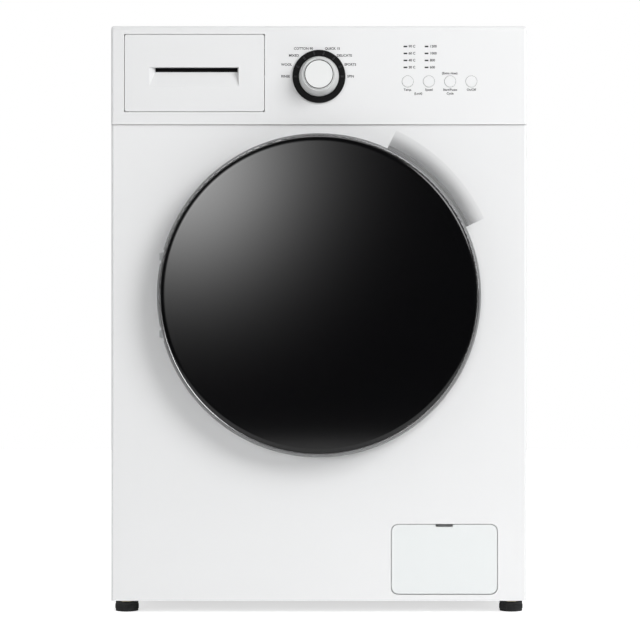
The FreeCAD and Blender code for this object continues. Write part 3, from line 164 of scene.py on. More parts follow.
WHITE_ENAMEL = Finish("white_enamel", (0.83, 0.835, 0.84), 0.32, coat=0.15, wander=0.012, scale=6.0,
                      grain=Grain.ORANGE_PEEL, relief=0.035, grain_scale=420.0)
WHITE_MOULDING = Finish("white_moulding", (0.84, 0.845, 0.85), 0.38, wander=0.012, scale=8.0,
                        relief=0.03, grain_scale=1600.0)
FLAP_MOULDING = Finish("flap_moulding", (0.80, 0.825, 0.825), 0.42, wander=0.012, scale=8.0,
                       relief=0.04, grain_scale=1600.0)
KNOB_MOULDING = Finish("knob_moulding", (0.82, 0.83, 0.825), 0.3, wander=0.015, scale=30.0,
                       relief=0.02, grain_scale=2000.0)
WORKTOP_FOIL = Finish("worktop_foil", (0.80, 0.805, 0.81), 0.45, wander=0.02, scale=14.0,
                      relief=0.08, grain_scale=700.0)
ZINC_SHEET = Finish("zinc_sheet", (0.50, 0.51, 0.52), 0.42, metallic=0.9, wander=0.18, gloss_wander=0.2,
                    scale=55.0, grain=Grain.CAST, relief=0.03, grain_scale=160.0)
DARK_GLASS = Finish("dark_glass", (0.0026, 0.0026, 0.003), 0.11, specular=0.5, wander=0.02, gloss_wander=0.01,
                    scale=5.0, grain=Grain.SMOOTH)
CLEAR_GLASS = Finish("clear_glass", (0.93, 0.96, 0.95), 0.03, wander=0.01, gloss_wander=0.01, scale=6.0,
                     grain=Grain.SMOOTH, transmission=0.92, ior=1.47)
SATIN_RING = Finish("satin_ring", (0.24, 0.243, 0.247), 0.36, metallic=0.8, wander=0.05, scale=30.0,
                    relief=0.03, grain_scale=1400.0)
BRIGHT_RING = Finish("bright_ring", (0.24, 0.24, 0.243), 0.24, metallic=1.0, wander=0.03, scale=20.0,
                     relief=0.01, grain_scale=900.0)
# Real black gloss of the dial ring and the knob's circle; also the painted shade laid as a black sheet in the drawer's
# finger slot.
BLACK_GLOSS_AND_SLOT_SHADE = Finish("black_gloss", (0.004, 0.004, 0.0042), 0.42, specular=0.12, wander=0.1, scale=60.0,
                     relief=0.02,
                     grain_scale=1800.0)
LAMP_SMOKE = Finish("lamp_smoke", (0.02, 0.02, 0.022), 0.35, specular=0.2, wander=0.1, scale=90.0,
                    relief=0.01)
PRINT_GREY = Finish("print_grey", (0.02, 0.02, 0.022), 0.7, specular=0.15, wander=0.1, scale=200.0,
                    relief=0.02)
BOARD_GREEN = Finish("board_green", (0.02, 0.13, 0.05), 0.45, wander=0.3, scale=120.0, relief=0.1)
GREY_PLASTIC = Finish("grey_plastic", (0.20, 0.205, 0.21), 0.55, wander=0.08, scale=40.0, relief=0.08,
                      grain_scale=1100.0)
TUB_PLASTIC = Finish("tub_plastic", (0.46, 0.46, 0.44), 0.55, wander=0.1, scale=30.0, relief=0.08,
                     grain_scale=600.0)
HOSE_RUBBER = Finish("hose_rubber", (0.018, 0.018, 0.019), 0.6, wander=0.25, scale=60.0, relief=0.12,
                     grain_scale=700.0)
GASKET_RUBBER = Finish("gasket_rubber", (0.14, 0.145, 0.15), 0.5, wander=0.12, scale=35.0, relief=0.06,
                       grain_scale=800.0)
CONCRETE = Finish("concrete", (0.33, 0.32, 0.30), 0.9, wander=0.35, scale=45.0, grain=Grain.CAST,
                  relief=0.6, grain_scale=220.0)
BEARING_STEEL = Finish("bearing_steel", (0.55, 0.55, 0.57), 0.2, metallic=1.0, wander=0.06, scale=60.0)
MOTOR_ALLOY = Finish("motor_alloy", (0.42, 0.43, 0.44), 0.45, metallic=0.85, wander=0.15, scale=70.0,
                     grain=Grain.CAST, relief=0.25, grain_scale=500.0)
DRUM_STEEL = Finish("drum_steel", (0.62, 0.62, 0.63), 0.24, metallic=1.0, wander=0.06, gloss_wander=0.1,
                    scale=18.0, grain=Grain.BRUSHED_ROUND, relief=0.05)
CAST_ALLOY = Finish("cast_alloy", (0.45, 0.45, 0.46), 0.5, metallic=0.9, wander=0.12, scale=60.0,
                    grain=Grain.CAST, relief=0.3, grain_scale=420.0)
EDGE_CHROME = Finish("edge_chrome", (0.9, 0.9, 0.91), 0.08, metallic=1.0, wander=0.02, scale=20.0,
                     relief=0.01)
# Painted shade: a near-black colour for the rings in the push buttons' gaps, standing in for the shadow in those gaps.
PAINTED_GAP_SHADE = Finish("key_gap_shade_paint", (0.03, 0.03, 0.032), 0.7, specular=0.2, wander=0.2, scale=60.0)
BELT_RUBBER = Finish("belt_rubber", (0.012, 0.012, 0.012), 0.7, wander=0.3, scale=80.0, relief=0.2)
SPRING_STEEL = Finish("spring_steel", (0.16, 0.16, 0.165), 0.35, metallic=0.9, wander=0.2, scale=80.0)
FOOT_RUBBER = Finish("foot_rubber", (0.012, 0.012, 0.013), 0.65, wander=0.3, scale=90.0, relief=0.15)
NUT_ZINC = Finish("nut_zinc", (0.50, 0.44, 0.32), 0.35, metallic=0.9, wander=0.12, scale=90.0)
VALVE_PLASTIC = Finish("valve_plastic", (0.62, 0.62, 0.58), 0.45, wander=0.08, scale=50.0, relief=0.05)
STUDIO_WHITE = Finish("studio_white", (0.93, 0.93, 0.93), 0.9, wander=0.005, gloss_wander=0.02, scale=3.0,
                      relief=0.02)

NODE_FINISHES: dict[str, Finish] = {
    "base_rails": ZINC_SHEET, "left_side_panel": WHITE_ENAMEL, "right_side_panel": WHITE_ENAMEL,
    "rear_panel": ZINC_SHEET, "rear_access_cover": ZINC_SHEET, "front_panel": WHITE_ENAMEL,
    "top_rails": ZINC_SHEET, "worktop": WORKTOP_FOIL, "control_fascia": WHITE_MOULDING,
    "dial_ring": BLACK_GLOSS_AND_SLOT_SHADE, "light_guides": LAMP_SMOKE, "display_board": BOARD_GREEN,
    "dispenser_housing": GREY_PLASTIC, "control_unit": GREY_PLASTIC, "water_inlet_valve": VALVE_PLASTIC,
    "fixed_hoses": HOSE_RUBBER, "drain_pump": GREY_PLASTIC, "service_bezel": WHITE_MOULDING,
    "rear_fittings": GREY_PLASTIC, "door_lock": GREY_PLASTIC, "hinge_bracket": ZINC_SHEET,
    "door_gasket": GASKET_RUBBER, "rear_feet": FOOT_RUBBER, "tub_front": TUB_PLASTIC,
    "tub_rear": TUB_PLASTIC, "counterweights": CONCRETE, "drum_bearings": BEARING_STEEL,
    "motor_housing": MOTOR_ALLOY, "heater": BEARING_STEEL, "suspension_springs": SPRING_STEEL,
    "tub_hoses": HOSE_RUBBER, "drive_belt": BELT_RUBBER, "drum_shell": DRUM_STEEL,
    "drum_lifters": WHITE_MOULDING, "drum_spider": CAST_ALLOY, "drum_pulley": CAST_ALLOY,
    "motor_pulley": BEARING_STEEL, "left_damper_cylinder": GREY_PLASTIC, "left_damper_rod": BEARING_STEEL,
    "right_damper_cylinder": GREY_PLASTIC, "right_damper_rod": BEARING_STEEL, "door_frame": SATIN_RING,
    "door_trim_ring": BRIGHT_RING, "door_cover_glass": DARK_GLASS, "door_inner_frame": WHITE_MOULDING,
    "door_bowl": CLEAR_GLASS, "door_hinge": ZINC_SHEET, "latch_hook": GREY_PLASTIC,
    "program_knob": KNOB_MOULDING, "knob_cap": KNOB_MOULDING, "temperature_button": WHITE_MOULDING,
    "spin_button": WHITE_MOULDING, "start_button": WHITE_MOULDING, "power_button": WHITE_MOULDING,
    "drawer_front": WHITE_MOULDING, "drawer_tray": WHITE_MOULDING, "service_flap": FLAP_MOULDING,
    "drain_filter": GREY_PLASTIC, "front_left_foot": FOOT_RUBBER, "front_right_foot": FOOT_RUBBER,
}


# ---------------------------------------------------------------- surfaces


@dataclass
class Surface:
    """Points and faces of one piece, worked out as arrays."""

    points: np.ndarray
    faces: list = field(default_factory=list)

    def joined(self, other: "Surface") -> "Surface":
        """Both surfaces as one, their faces numbered on."""
        start = len(self.points)
        moved = [tuple(int(corner) + start for corner in face) for face in other.faces]
        return Surface(np.vstack([self.points, other.points]), list(self.faces) + moved)

    def moved(self, offset: Point) -> "Surface":
        """The surface moved by an offset in metres."""
        return Surface(self.points + np.array(offset), self.faces)

    def piece(self, name: str, finish: Finish, body: str, slot: str,
              crease: float = 35.0) -> bpy.types.Object:
        """Makes the mesh object, closes its seams, turns its faces outward and lets it ride on a body.

        Args:
            name: The piece's name.
            finish: Its finish.
            body: The body that it moves with, or nothing for a piece that lies between two bodies and rides on neither.
            slot: The name of a material slot; not used.
            crease: The angle in degrees above which an edge stays sharp.

        Returns:
            The object, at the origin.
        """
        mesh = bpy.data.meshes.new(name)
        mesh.from_pydata(self.points.tolist(), [], [tuple(face) for face in self.faces])
        cleaned = bmesh.new()
        cleaned.from_mesh(mesh)
        bmesh.ops.remove_doubles(cleaned, verts=cleaned.verts, dist=1e-6)
        bmesh.ops.dissolve_degenerate(cleaned, dist=1e-7, edges=cleaned.edges)
        bmesh.ops.recalc_face_normals(cleaned, faces=cleaned.faces)
        cleaned.to_mesh(mesh)
        cleaned.free()
        mesh.shade_smooth()
        mesh.set_sharp_from_angle(angle=math.radians(crease))
        mesh.materials.append(finish.material())
        thing = bpy.data.objects.new(name, mesh)
        bpy.context.scene.collection.objects.link(thing)
        if body:
            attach(thing, body)
        LOG.info("%s: %d points, %d faces, on %s", name, len(mesh.vertices), len(mesh.polygons), body)
        return thing


def grid_faces(rows: int, columns: int, close_rows: bool = False, close_columns: bool = False) -> list:
    """The four-cornered faces of a grid of points.

    Args:
        rows: Points along the first parameter.
        columns: Points along the second parameter.
        close_rows: Whether the last row joins the first.
        close_columns: Whether the last column joins the first.

    Returns:
        The faces, as tuples of point numbers.
    """
    row = np.arange(rows if close_rows else rows - 1)[:, None]
    column = np.arange(columns if close_columns else columns - 1)[None, :]
    next_row = (row + 1) % rows
    next_column = (column + 1) % columns
    corners = [row * columns + column, row * columns + next_column,
               next_row * columns + next_column, next_row * columns + column]
    return np.stack([corner.ravel() for corner in np.broadcast_arrays(*corners)], axis=1).tolist()


def eased(outline: list[tuple[float, float]], radius: float, steps: int = 4,
          closed: bool = True) -> np.ndarray:
    """Rounds the corners of an outline.

    Each corner is replaced by points of the quadratic curve between two points that lie a radius
    away from it on its two sides, or half a side where the side is shorter.

    Args:
        outline: The corners.
        radius: How far from each corner the rounding starts.
        steps: Spans of each rounding.
        closed: Whether the outline closes on itself.

    Returns:
        The rounded outline's points.
    """
    corners = np.array(outline, dtype=float)
    before = np.roll(corners, 1, axis=0) - corners
    after = np.roll(corners, -1, axis=0) - corners
    length_before = np.linalg.norm(before, axis=1, keepdims=True)
    length_after = np.linalg.norm(after, axis=1, keepdims=True)
    reach = np.minimum(np.minimum(length_before, length_after) * 0.5, radius)
    start = corners + before / np.maximum(length_before, 1e-9) * reach
    end = corners + after / np.maximum(length_after, 1e-9) * reach
    along = np.linspace(0.0, 1.0, steps + 1)[None, :, None]
    curve = (start[:, None] * (1 - along) ** 2 + 2 * corners[:, None] * along * (1 - along)
             + end[:, None] * along ** 2)
    if not closed:
        curve[0] = corners[0]
        curve[-1] = corners[-1]
    return curve.reshape(-1, 2)


def lathe(outline: np.ndarray, centre: tuple[float, float], segments: int = 192, closed: bool = True,
          start: float = 0.0, sweep: float = 360.0) -> Surface:
    """Turns a (y, radius) outline in millimetres about an axis along Y.

    A point at angle t stands at x = centre x + radius * sin t and z = centre z + radius * cos t.

    Args:
        outline: The outline's points.
        centre: The axis's x and z in millimetres.
        segments: Steps round the axis.
        closed: Whether the outline's last point joins its first.
        start: The first angle in degrees, from the top toward +X.
        sweep: How far round it goes, in degrees.

    Returns:
        The turned surface, in metres.
    """
    whole = sweep >= 360.0
    turns = np.radians(np.linspace(start, start + sweep, segments, endpoint=not whole))
    radius = outline[:, 1][None, :]
    x = centre[0] + radius * np.sin(turns)[:, None]
    z = centre[1] + radius * np.cos(turns)[:, None]
    y = np.broadcast_to(outline[:, 0][None, :], x.shape)
    points = np.stack([x, y, z], axis=2).reshape(-1, 3) * MM
    faces = grid_faces(segments, len(outline), close_rows=whole, close_columns=closed)
    if not whole and closed:
        faces.append(list(range(len(outline)))[::-1])
        faces.append(list(range((segments - 1) * len(outline), segments * len(outline))))
    return Surface(points, faces)


def smooth_path(knots: list[Point], samples: int) -> np.ndarray:
    """Points of a Catmull-Rom curve through knots, evenly divided in its parameter.

    Args:
        knots: The points that it passes, in millimetres.
        samples: How many points to give.

    Returns:
        The curve's points in millimetres.
    """
    held = np.array([knots[0], *knots, knots[-1]], dtype=float)
    place = np.linspace(0, len(knots) - 1.000001, samples)
    span = place.astype(int)
    part = (place - span)[:, None]
    first, second, third, fourth = (held[span + shift] for shift in range(4))
    return 0.5 * (2 * second + (third - first) * part
                  + (2 * first - 5 * second + 4 * third - fourth) * part ** 2
                  + (3 * second - first - 3 * third + fourth) * part ** 3)


def tube(path: np.ndarray, radii: np.ndarray, sides: int = 20) -> Surface:
    """A round tube along a path, whose radius may change from point to point.

    At each point a ring stands square to the path. The ring's first direction is carried from ring
    to ring by taking away the part of it that lies along the path.

    Args:
        path: The centre points in millimetres.
        radii: The radius at each point in millimetres.
        sides: Points of each ring.

    Returns:
        The closed tube, in metres.
    """
    heading = np.gradient(path, axis=0)
    heading /= np.linalg.norm(heading, axis=1, keepdims=True)
    side = np.zeros_like(heading)
    guess = np.array([0.31, 0.17, 0.93]) if abs(heading[0][2]) < 0.9 else np.array([0.93, 0.31, 0.17])
    for index, along in enumerate(heading):
        guess = guess - along * np.dot(guess, along)
        guess = guess / np.linalg.norm(guess)
        side[index] = guess
    other = np.cross(heading, side)
    turn = np.linspace(0, 2 * np.pi, sides, endpoint=False)
    ring = (side[:, None] * np.cos(turn)[None, :, None] + other[:, None] * np.sin(turn)[None, :, None])
    points = (path[:, None] + ring * np.asarray(radii)[:, None, None]).reshape(-1, 3) * MM
    faces = grid_faces(len(path), sides, close_columns=True)
    faces.append(list(range(sides)))
    faces.append(list(range((len(path) - 1) * sides, len(path) * sides))[::-1])
    return Surface(points, faces)


# ---------------------------------------------------------------- nodes and studio


@dataclass
class Cabinetry:
    """Gives every carried-over part its finish."""

    finishes: dict[str, Finish] = field(default_factory=lambda: dict(NODE_FINISHES))

    def dress(self) -> None:
        """Puts each node's finish in its material slots."""
        for name, finish in self.finishes.items():
            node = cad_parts[name]
            material = finish.material()
            for index in range(len(node.material_slots)):
                node.material_slots[index].material = material
            LOG.info("%s: finished as %s", name, finish.name)


@dataclass
class Softbox:
    """One oval studio light."""

    name: str
    place: Point
    target: Point
    width: float
    height: float
    power: float
    roll: float = 0.0

    def build(self) -> bpy.types.Object:
        """Makes the light, turns it toward its target and rolls it about that line.

        Returns:
            The light.
        """
        light = bpy.data.lights.new(self.name, "AREA")
        light.shape = "ELLIPSE"
        light.size = self.width
        light.size_y = self.height
        light.energy = self.power
        thing = bpy.data.objects.new(self.name, light)
        thing.location = self.place
        aim = (Vector(self.target) - Vector(self.place)).to_track_quat("-Z", "Y")
        thing.rotation_euler = (aim @ Quaternion((0.0, 0.0, 1.0), math.radians(self.roll))).to_euler()
        bpy.context.scene.collection.objects.link(thing)
        return thing


@dataclass
class Studio:
    """The plain pale floor, the soft light, the unlit end of the room and the camera."""

    distance: float = 3.24
    camera_place: tuple[float, float] = (0.0015, 0.424)
    lens: float = 117.6
    backdrop: float = 1.0
    walls: float = 0.6
    lift: float = 0.6
    spill: float = 0.05
    floor_side: float = 8.0
    floor_back: float = 3.5
    sensor: float = 36.0
    dark_within: float = 30.0
    bright_beyond: float = 50.0
    window: float = 10.4
    window_spread: float = 130.0
    window_heading: Point = (-0.1825, -0.966, 0.1825)
    floor_front: float = -1.7
    lights: list[Softbox] = field(default_factory=lambda: [
        Softbox("key_light", (1.8, -2.2, 1.8), (0.1, -0.2, 0.6), 1.7, 1.7, 52.0),
    ])

    def sky(self) -> bpy.types.World:
        """The white backdrop, the pale walls, the unlit end of the room and the soft window in it.

        The walls fade to nothing round the door's own heading, and the window is a round glow whose
        strength falls with the exponential of the cosine away from its heading.

        Returns:
            The world.
        """
        world = bpy.data.worlds.new("studio_room")
        world.use_nodes = True
        nodes = world.node_tree.nodes
        links = world.node_tree.links

        def math_node(operation: str, first: bpy.types.NodeSocket, second: float) -> bpy.types.NodeSocket:
            """One sum of a socket and a number."""
            node = nodes.new("ShaderNodeMath")
            node.operation = operation
            links.new(first, node.inputs[0])
            node.inputs[1].default_value = second
            return node.outputs[0]

        def heading(direction: Point) -> bpy.types.NodeSocket:
            """The cosine between a ray and a heading."""
            node = nodes.new("ShaderNodeVectorMath")
            node.operation = "DOT_PRODUCT"
            node.inputs[1].default_value = direction
            links.new(place.outputs["Generated"], node.inputs[0])
            return node.outputs["Value"]

        place = nodes.new("ShaderNodeTexCoord")
        fade = nodes.new("ShaderNodeMapRange")
        fade.interpolation_type = "SMOOTHSTEP"
        fade.inputs["From Min"].default_value = math.cos(math.radians(self.bright_beyond))
        fade.inputs["From Max"].default_value = math.cos(math.radians(self.dark_within))
        fade.inputs["To Min"].default_value = self.walls
        fade.inputs["To Max"].default_value = 0.0
        links.new(heading((0.0, -1.0, 0.0)), fade.inputs["Value"])
        away = math_node("SUBTRACT", heading(self.window_heading), 1.0)
        spread = nodes.new("ShaderNodeMath")
        spread.operation = "EXPONENT"
        links.new(math_node("MULTIPLY", away, self.window_spread), spread.inputs[0])
        glow = math_node("MULTIPLY", spread.outputs[0], self.window)
        total = nodes.new("ShaderNodeMath")
        links.new(fade.outputs["Result"], total.inputs[0])
        links.new(glow, total.inputs[1])
        walls = nodes["Background"]
        walls.inputs["Color"].default_value = (1.0, 1.0, 1.0, 1.0)
        links.new(total.outputs[0], walls.inputs["Strength"])
        backdrop = nodes.new("ShaderNodeBackground")
        backdrop.inputs["Color"].default_value = (1.0, 1.0, 1.0, 1.0)
        backdrop.inputs["Strength"].default_value = self.backdrop
        seen = nodes.new("ShaderNodeLightPath")
        either = nodes.new("ShaderNodeMixShader")
        links.new(seen.outputs["Is Camera Ray"], either.inputs["Fac"])
        links.new(walls.outputs["Background"], either.inputs[1])
        links.new(backdrop.outputs["Background"], either.inputs[2])
        links.new(either.outputs["Shader"], nodes["World Output"].inputs["Surface"])
        return world

    def build(self) -> None:
        """Makes the floor, the room, the lights and the camera."""
        scene = bpy.context.scene
        side, front, back = self.floor_side, self.floor_front, self.floor_back
        mesh = bpy.data.meshes.new("studio_floor")
        corners = [(-side, front, 0), (side, front, 0), (side, back, 0), (-side, back, 0)]
        mesh.from_pydata(corners, [], [(0, 1, 2, 3)])
        paper = STUDIO_WHITE.material()
        shader = paper.node_tree.nodes["Principled BSDF"]
        shader.inputs["Emission Color"].default_value = (1.0, 1.0, 1.0, 1.0)
        path = paper.node_tree.nodes.new("ShaderNodeLightPath")
        shown = paper.node_tree.nodes.new("ShaderNodeMath")
        shown.operation = "MULTIPLY_ADD"
        shown.inputs[1].default_value = self.lift
        shown.inputs[2].default_value = self.spill
        paper.node_tree.links.new(path.outputs["Is Camera Ray"], shown.inputs[0])
        paper.node_tree.links.new(shown.outputs[0], shader.inputs["Emission Strength"])
        mesh.materials.append(paper)
        floor = bpy.data.objects.new("studio_floor", mesh)
        scene.collection.objects.link(floor)
        scene.world = self.sky()
        for light in self.lights:
            light.build()
        camera = bpy.data.cameras.new("front_camera")
        camera.lens = self.lens
        camera.sensor_width = self.sensor
        holder = bpy.data.objects.new("front_camera", camera)
        holder.location = (self.camera_place[0], -self.distance, self.camera_place[1])
        holder.rotation_euler = (math.radians(90.0), 0.0, 0.0)
        scene.collection.objects.link(holder)
        scene.camera = holder
        scene.view_settings.view_transform = "Standard"
        LOG.info("studio: floor, room, %d lights and camera", len(self.lights))


# ---------------------------------------------------------------- sub-assemblies

AXIS = (0.0, 457.0)
KNOB_AXIS = (0.0, 771.2)
KEY_FIRST = 127.3
KEY_PITCH = 30.45


def front_of(node: str) -> float:
    """The Y of a part's most forward point, in millimetres."""
    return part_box(node)[0][1] / MM


@dataclass
class DoorLooks:
    """The door's cover glass with its even dome, and the bead round its edge."""

    glass_radius: float = 224.5
    crown: float = 7.0
    wall: float = 4.0

    def cover(self) -> None:
        """Makes the domed cover glass: a spherical cap with a ground edge, closed at the back."""
        apex = front_of("door_cover_glass")
        sphere = (self.glass_radius ** 2 + self.crown ** 2) / (2 * self.crown)
        out = np.linspace(0.0, self.glass_radius - 0.6, 40)
        dome = np.stack([apex + sphere - np.sqrt(sphere ** 2 - out ** 2), out], axis=1)
        edge = np.array([[apex + self.crown + 0.25, self.glass_radius - 0.1],
                         [apex + self.crown + 0.9, self.glass_radius],
                         [apex + self.crown + self.wall, self.glass_radius]])
        inside = dome[::-8] + np.array([self.wall, 0.0])
        inside[-1, 1] = 0.0
        outline = np.vstack([dome, edge, inside])
        glass = lathe(outline, AXIS, 256, closed=False)
        piece = glass.piece("door_glass", DARK_GLASS, "door", "dark_glass", 60.0)
        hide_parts("door_cover_glass")

    def bead(self) -> None:
        """Makes the fine bright bead that holds the glass's edge."""
        y = front_of("door_cover_glass") + self.crown
        outline = np.array([[y + 2.6, 224.55], [y - 0.2, 224.55], [y - 0.5, 224.75], [y - 0.5, 225.1],
                            [y + 0.1, 225.3], [y + 2.6, 225.3]])
        lathe(outline, AXIS, 256).piece("door_glass_bead", EDGE_CHROME, "door", "bright_trim")

    def build(self) -> None:
        """Builds the door's pieces."""
        self.cover()
        self.bead()


@dataclass
class KnobLooks:
    """The fine black circle in the programme knob's face."""

    circle_inner: float = 19.6
    circle_outer: float = 20.7
    depth: float = 0.6
    stand: float = 0.12

    def build(self) -> None:
        """Lays the circle on the cap in the knob's face."""
        y = front_of("knob_cap")
        rear, face = y + self.depth, y - self.stand
        outline = np.array([[rear, self.circle_inner], [face, self.circle_inner],
                            [face, self.circle_outer], [rear, self.circle_outer]])
        lathe(outline, KNOB_AXIS, 128).piece("knob_circle", BLACK_GLOSS_AND_SLOT_SHADE, "knob", "black_gloss")


@dataclass
class Lettering:
    """The fascia's printed words and numbers: plain names of programmes, settings and keys."""

    lift: float = 0.06
    weight: float = 0.11
    capital: float = 4.1

    def word(self, text: str, x: float, z: float, height: float, align: str) -> Surface:
        """One word, laid out upright just ahead of the fascia.

        Args:
            text: The word.
            x: Where it starts, ends or is centred, in millimetres.
            z: The height of its middle, in millimetres.
            height: The height of its capitals, in millimetres.
            align: LEFT, CENTER or RIGHT.

        Returns:
            The word's solid letters.
        """
        curve = bpy.data.curves.new("word", "FONT")
        curve.body = text
        curve.size = height / 0.72 * MM
        curve.align_x = align
        curve.align_y = "CENTER"
        curve.extrude = self.lift * MM
        curve.offset = self.weight * MM
        curve.resolution_u = 3
        holder = bpy.data.objects.new("word", curve)
        bpy.context.scene.collection.objects.link(holder)
        bpy.context.view_layer.update()
        mesh = bpy.data.meshes.new_from_object(holder.evaluated_get(bpy.context.evaluated_depsgraph_get()))
        flat = np.empty(len(mesh.vertices) * 3)
        mesh.vertices.foreach_get("co", flat)
        flat = flat.reshape(-1, 3)
        face = front_of("control_fascia") * MM
        points = np.stack([flat[:, 0] + x * MM, face - flat[:, 2], flat[:, 1] + z * MM], axis=1)
        faces = [tuple(polygon.vertices) for polygon in mesh.polygons]
        bpy.data.objects.remove(holder)
        bpy.data.curves.remove(curve)
        bpy.data.meshes.remove(mesh)
        return Surface(points, faces)

    def build(self) -> None:
        """Sets every word of the fascia and joins them to one print."""
        small = self.capital * 0.86
        fine = self.capital * 0.78
        words = [("COTTON 90", -8.5, 811.2, "RIGHT"), ("MIXED", -28.6, 801.3, "RIGHT"),
                 ("WOOL", -38.7, 788.2, "RIGHT"), ("RINSE", -41.6, 771.4, "RIGHT"),
                 ("QUICK 15", 8.5, 811.2, "LEFT"), ("DELICATE", 25.5, 801.3, "LEFT"),
                 ("SPORTS", 36.5, 788.2, "LEFT"), ("SPIN", 40.5, 771.4, "LEFT")]
        printed = [self.word(text, x, z, small, align) for text, x, z, align in words]
        rows = (814.4, 804.4, 794.4, 784.4)
        columns = ((128.6, ("90 C", "60 C", "40 C", "30 C")), (159.2, ("1200", "1000", "800", "600")))
        for column, names in columns:
            printed += [self.word(name, column, z, small, "LEFT") for name, z in zip(names, rows)]
        notes = [(name, KEY_FIRST + KEY_PITCH * place, 752.2)
                 for place, name in enumerate(("Temp.", "Speed", "Start/Pause", "On/Off"))]
        notes += [("(Lock)", 142.5, 746.8), ("Cycle", 188.2, 746.8), ("(Extra rinse)", 187.6, 775.8)]
        printed += [self.word(name, x, z, fine, "CENTER") for name, x, z in notes]
        whole = printed[0]
        for word in printed[1:]:
            whole = whole.joined(word)
        whole.piece("fascia_lettering", PRINT_GREY, "cabinet", "lamp_lens")


@dataclass
class KeyLooks:
    """The painted shade in the gaps round the four push buttons: thin near-black rings standing in for the shadow in
    each gap.
    """

    height: float = 764.2
    inner: float = 8.06
    outer: float = 8.36

    def build(self) -> None:
        """Sets a thin near-black ring in the gap round each button, painted shade for the gap's shadow."""
        y = front_of("control_fascia")
        outline = np.array([[y + 1.4, self.inner], [y + 0.1, self.inner],
                            [y + 0.1, self.outer], [y + 1.4, self.outer]])
        # Painted shade: one near-black ring per button gap, in place of the shadow there.
        for place, key in enumerate(("temperature", "spin", "start", "power")):
            lathe(outline, (KEY_FIRST + KEY_PITCH * place, self.height), 64).piece(
                key + "_button_shade_ring", PAINTED_GAP_SHADE, "cabinet", "gasket_rubber")


@dataclass
class GasketLooks:
    """The rubber bellows between the front panel's mouth and the tub, with folds and a clamp ring."""

    mouth: float = 171.7
    wire: float = 1.1

    def build(self) -> None:
        """Makes the bellows, which spans cabinet and tub and rides on neither, and the wire clamp round its lip."""
        outer = eased([(-216, self.mouth), (-204.8, self.mouth), (-204.8, 156.3), (-201.3, 156.3),
                       (-201.3, 167), (-196, 177.0), (-190, 177.6), (-185, 172.0), (-170, 172.0)], 3.0, 5, closed=False)
        inner = eased([(-170, 169.7), (-186.2, 169.7), (-191.4, 175.1), (-195, 174.4), (-198.8, 165.8),
                       (-198.8, 153.8), (-207.3, 153.8), (-207.3, self.mouth - 2.5),
                       (-216, self.mouth - 2.5)],
                      2.6, 5, closed=False)
        bellows = lathe(np.vstack([outer, inner]), AXIS, 160)
        piece = bellows.piece("gasket_bellows", GASKET_RUBBER, "", "gasket_rubber", 50.0)
        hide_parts("door_gasket")
        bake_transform(piece)
        ring = np.linspace(0.0, 2 * np.pi, 12, endpoint=False)
        wire = np.stack([-213.2 + self.wire * np.cos(ring), self.mouth - 3.75 + self.wire * np.sin(ring)], axis=1)
        lathe(wire, AXIS, 128).piece("gasket_clamp", BEARING_STEEL, "cabinet", "galvanised_steel")


